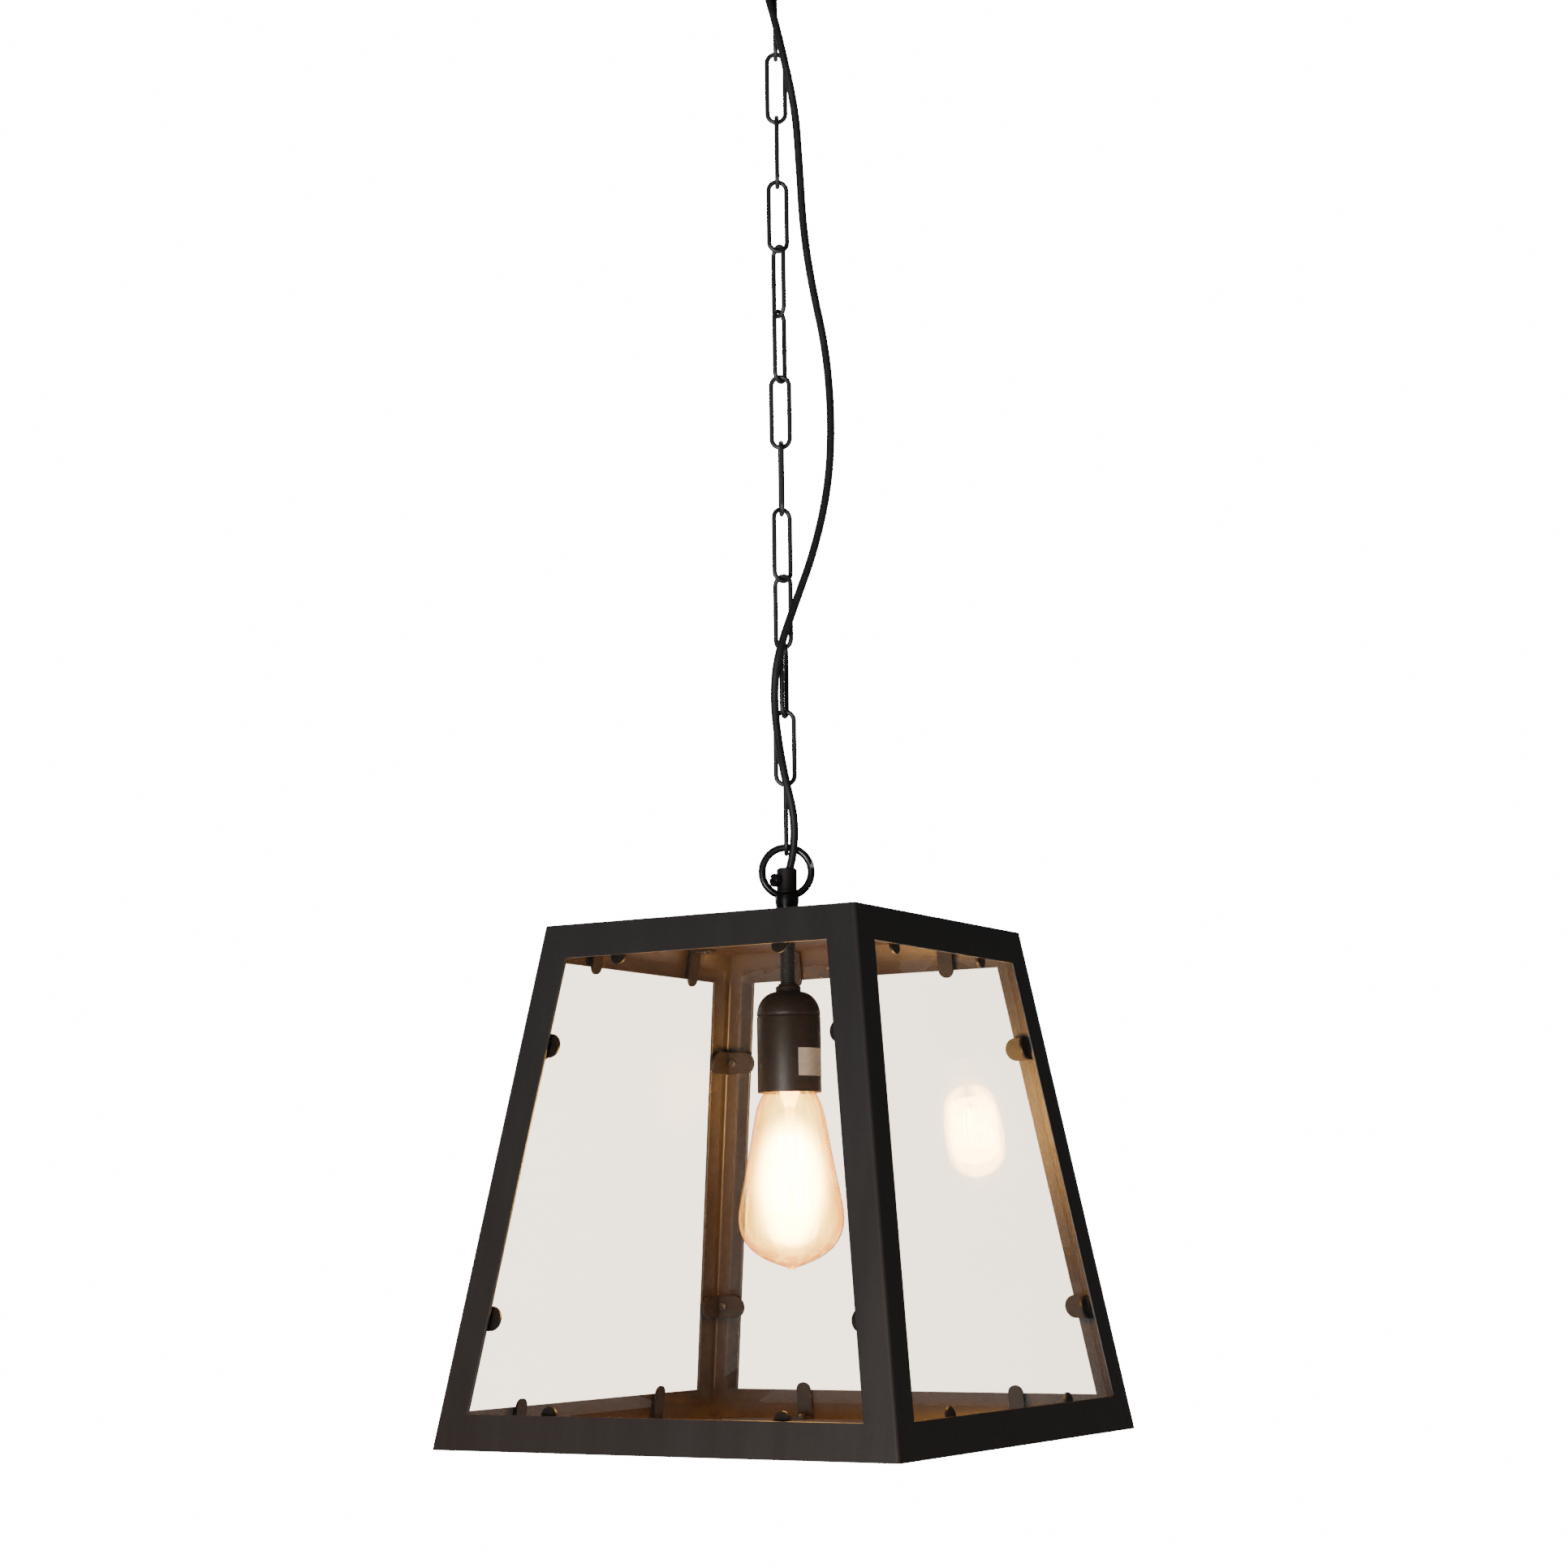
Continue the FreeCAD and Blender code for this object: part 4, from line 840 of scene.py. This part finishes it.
# The painted glow is densest round the filament: an upright egg, fading out towards the glass. Its middle's
# depth below the frame's top, its half width and its half height.
CORE_DEPTH, CORE_WIDE, CORE_TALL = 0.151, 0.0205, 0.036
centred = amber.node("ShaderNodeMapping", {}, {
    "Vector": amber.place(), "Location": (0, 0, (CORE_DEPTH - FRAME_TOP) / CORE_TALL),
    "Scale": (1 / CORE_WIDE, 1 / CORE_WIDE, 1 / CORE_TALL),
})
from_core = amber.node("ShaderNodeVectorMath", {"operation": "LENGTH"}, {0: centred}, "Value")
faint_painted_glow = amber.node("ShaderNodeEmission", {}, {"Color": (1.0, 0.62, 0.12, 1), "Strength": 6.0})
bright_painted_glow = amber.node("ShaderNodeEmission", {}, {"Color": (1.0, 0.72, 0.38, 1), "Strength": 900.0})
glow = amber.ramp(from_core, 1.32, 0.85)
painted_glow_haze = amber.node("ShaderNodeMixShader", {}, {0: glow * glow, 1: faint_painted_glow, 2: bright_painted_glow})
amber.put(amber.out, {"Surface": glass_surface, "Volume": painted_glow_haze})
glass_piece = make_piece(
    "pear_glass", bulb_glass, amber, "bulb", ("bulb_glass",), crease=180
)
smoother = glass_piece.modifiers.new("smoother", "SUBSURF")
smoother.levels = 1
smoother.render_levels = 1

# Filament. One carbon thread, drawn up and down between six hooks above and six below on a pressed glass
# mount, and held there by fine support wires. It glows almost white.
# The pressed glass mount has a painted orange glow all over, for the filament's light on it.
mount_glass = Finish("mount_glass", Specular_IOR_Level=0.5, Emission_Strength=1.4)
pressed = mount_glass.noise(300.0, 3.0)
mount_glass.feed({
    "Base Color": mount_glass.blend(pressed, (0.80, 0.66, 0.44), (0.92, 0.82, 0.62)),
    "Emission Color": mount_glass.blend(pressed, (1.0, 0.50, 0.12), (1.0, 0.62, 0.24)),
    "Roughness": 0.10 + pressed * 0.15,
})
coat(mount_glass, "bulb_mount")


def hook_point(radius, turn, depth):
    """A point this far out from the bulb's axis, in a direction, and this far below the frame's top."""
    return Vector((radius * math.cos(turn), radius * math.sin(turn), FRAME_TOP - depth))


HOOKS = 6
HOOK_BOW, HOOK_SPREAD = 0.0006, 0.12
SUPPORT_WIRE, THREAD_WIRE = 0.00022, 0.00030
# The two rows of hooks: how far out, how deep below the frame's top, and how deep their wires are rooted.
UPPER_HOOKS, LOWER_HOOKS = (0.0070, 0.123, 0.122), (0.0105, 0.168, 0.130)
thread_points = []
supports = bmesh.new()
for i in range(HOOKS):
    for half_step, bow, (radius, depth, root) in ((0, HOOK_BOW, UPPER_HOOKS), (0.5, -HOOK_BOW, LOWER_HOOKS)):
        turn = 2 * math.pi * (i + half_step) / HOOKS
        hook_end = hook_point(radius, turn, depth)
        thread_points += [
            hook_point(radius, turn - HOOK_SPREAD, depth + bow), hook_end,
            hook_point(radius, turn + HOOK_SPREAD, depth + bow),
        ]
        elbow = hook_point(radius * 0.5, turn, root + 0.3 * (depth - root))
        sweep(supports, [hook_point(0, 0, root), elbow, hook_end], SUPPORT_WIRE, 8)
bmesh.ops.recalc_face_normals(supports, faces=supports.faces)
filament = bmesh.new()
sweep(filament, thread_points, THREAD_WIRE, 8)
bmesh.ops.recalc_face_normals(filament, faces=filament.faces)
carbon = Finish("filament_glow", Emission_Strength=120.0)
carbon.feed({
    "Base Color": (0.02, 0.018, 0.016, 1),
    "Emission Color": carbon.blend(carbon.noise(400.0), (1.0, 0.56, 0.22), (1.0, 0.66, 0.32)),
    "Roughness": 0.6 + carbon.noise(900.0) * 0.2,
})
make_piece("glowing_thread", filament, carbon, "bulb", ("bulb_filament",))
support_metal = plated("support_nickel", (0.62, 0.58, 0.52), (0.42, 0.38, 0.33), 0.28)
make_piece("support_hooks", supports, support_metal, "bulb", ("filament_supports",))

# Room and light. A pale floor far below, white surroundings that look warmer and greyer through glass, soft
# lights in front, above and at the side, and the bulb's own light: nested soft globes round the filament.
FLOOR_RADIUS, FLOOR_HEIGHT = 12.5, -2.4
floor_mesh = bmesh.new()
bmesh.ops.create_circle(
    floor_mesh, cap_ends=True, segments=96, radius=FLOOR_RADIUS,
    matrix=Matrix.Translation((0, 0, FLOOR_HEIGHT)),
)
pale = Finish("floor_pale", Emission_Strength=0.45)
pale.feed({
    "Base Color": pale.blend(pale.noise(2.0), (0.84, 0.84, 0.83), (0.88, 0.88, 0.87)),
    "Emission Color": pale.blend(pale.noise(0.6), (0.96, 0.96, 0.95), (1.0, 1.0, 1.0)),
    "Roughness": 0.7 + pale.noise(3.0) * 0.1,
})
make_piece("floor", floor_mesh, pale, None)
world = bpy.data.worlds.new("white_room")
bpy.context.scene.world = world
world.use_nodes = True
room = world.node_tree


def backdrop(colour, strength):
    """An even surrounding light."""
    shade = room.nodes.new("ShaderNodeBackground")
    shade.inputs["Color"].default_value = (*colour, 1)
    shade.inputs["Strength"].default_value = strength
    return shade.outputs[0]


def choose(amount, first, second):
    """The first surrounding at 0, and the second at 1."""
    mix = room.nodes.new("ShaderNodeMixShader")
    for socket, value in enumerate((amount, first, second)):
        room.links.new(value, mix.inputs[socket])
    return mix.outputs[0]


path = room.nodes.new("ShaderNodeLightPath")
plain_white = backdrop((1.0, 1.0, 1.0), 16.0)
glazed_white = backdrop((1.0, 0.86, 0.70), 4.6)
seen = choose(path.outputs["Transparent Depth"], plain_white, glazed_white)
ambient = backdrop((1.0, 0.98, 0.96), 0.06)
surroundings = choose(path.outputs["Is Camera Ray"], ambient, seen)
room.links.new(surroundings, room.nodes["World Output"].inputs[0])


def soft_box(name, watts, size, place, aim):
    """A square white light that faces a point."""
    lamp = bpy.data.lights.new(name, "AREA")
    lamp.energy = watts
    lamp.size = size
    made = bpy.data.objects.new(name, lamp)
    bpy.context.scene.collection.objects.link(made)
    made.location = place
    made.rotation_mode = "QUATERNION"
    made.rotation_quaternion = (Vector(aim) - Vector(place)).to_track_quat("-Z", "Y")


soft_box("front_light", 92.0, 1.2, (0.25, -2.6, -1.55), (0, 0, -0.8))
soft_box("top_light", 45.0, 0.8, (-0.9, 1.2, 2.2), (0, 0, -0.7))
soft_box("side_light", 14.0, 1.2, (-3.0, 0.9, 0.2), (0, 0, -0.8))
# The bulb's globes: depth below the frame's top, radius and watts.
BULB_GLOBES = ((0.137, 0.0165, 1.3), (0.146, 0.0180, 1.5), (0.156, 0.0185, 1.7), (0.165, 0.0180, 1.5))
for number, (depth, radius, watts) in enumerate(BULB_GLOBES, 1):
    globe = bpy.data.lights.new(f"bulb_light_{number}", "POINT")
    globe.energy = watts
    globe.color = (1.0, 0.60, 0.30)
    globe.shadow_soft_size = radius
    placed = bpy.data.objects.new(f"bulb_light_{number}", globe)
    bpy.context.scene.collection.objects.link(placed)
    placed.location = (0, 0, FRAME_TOP - depth)
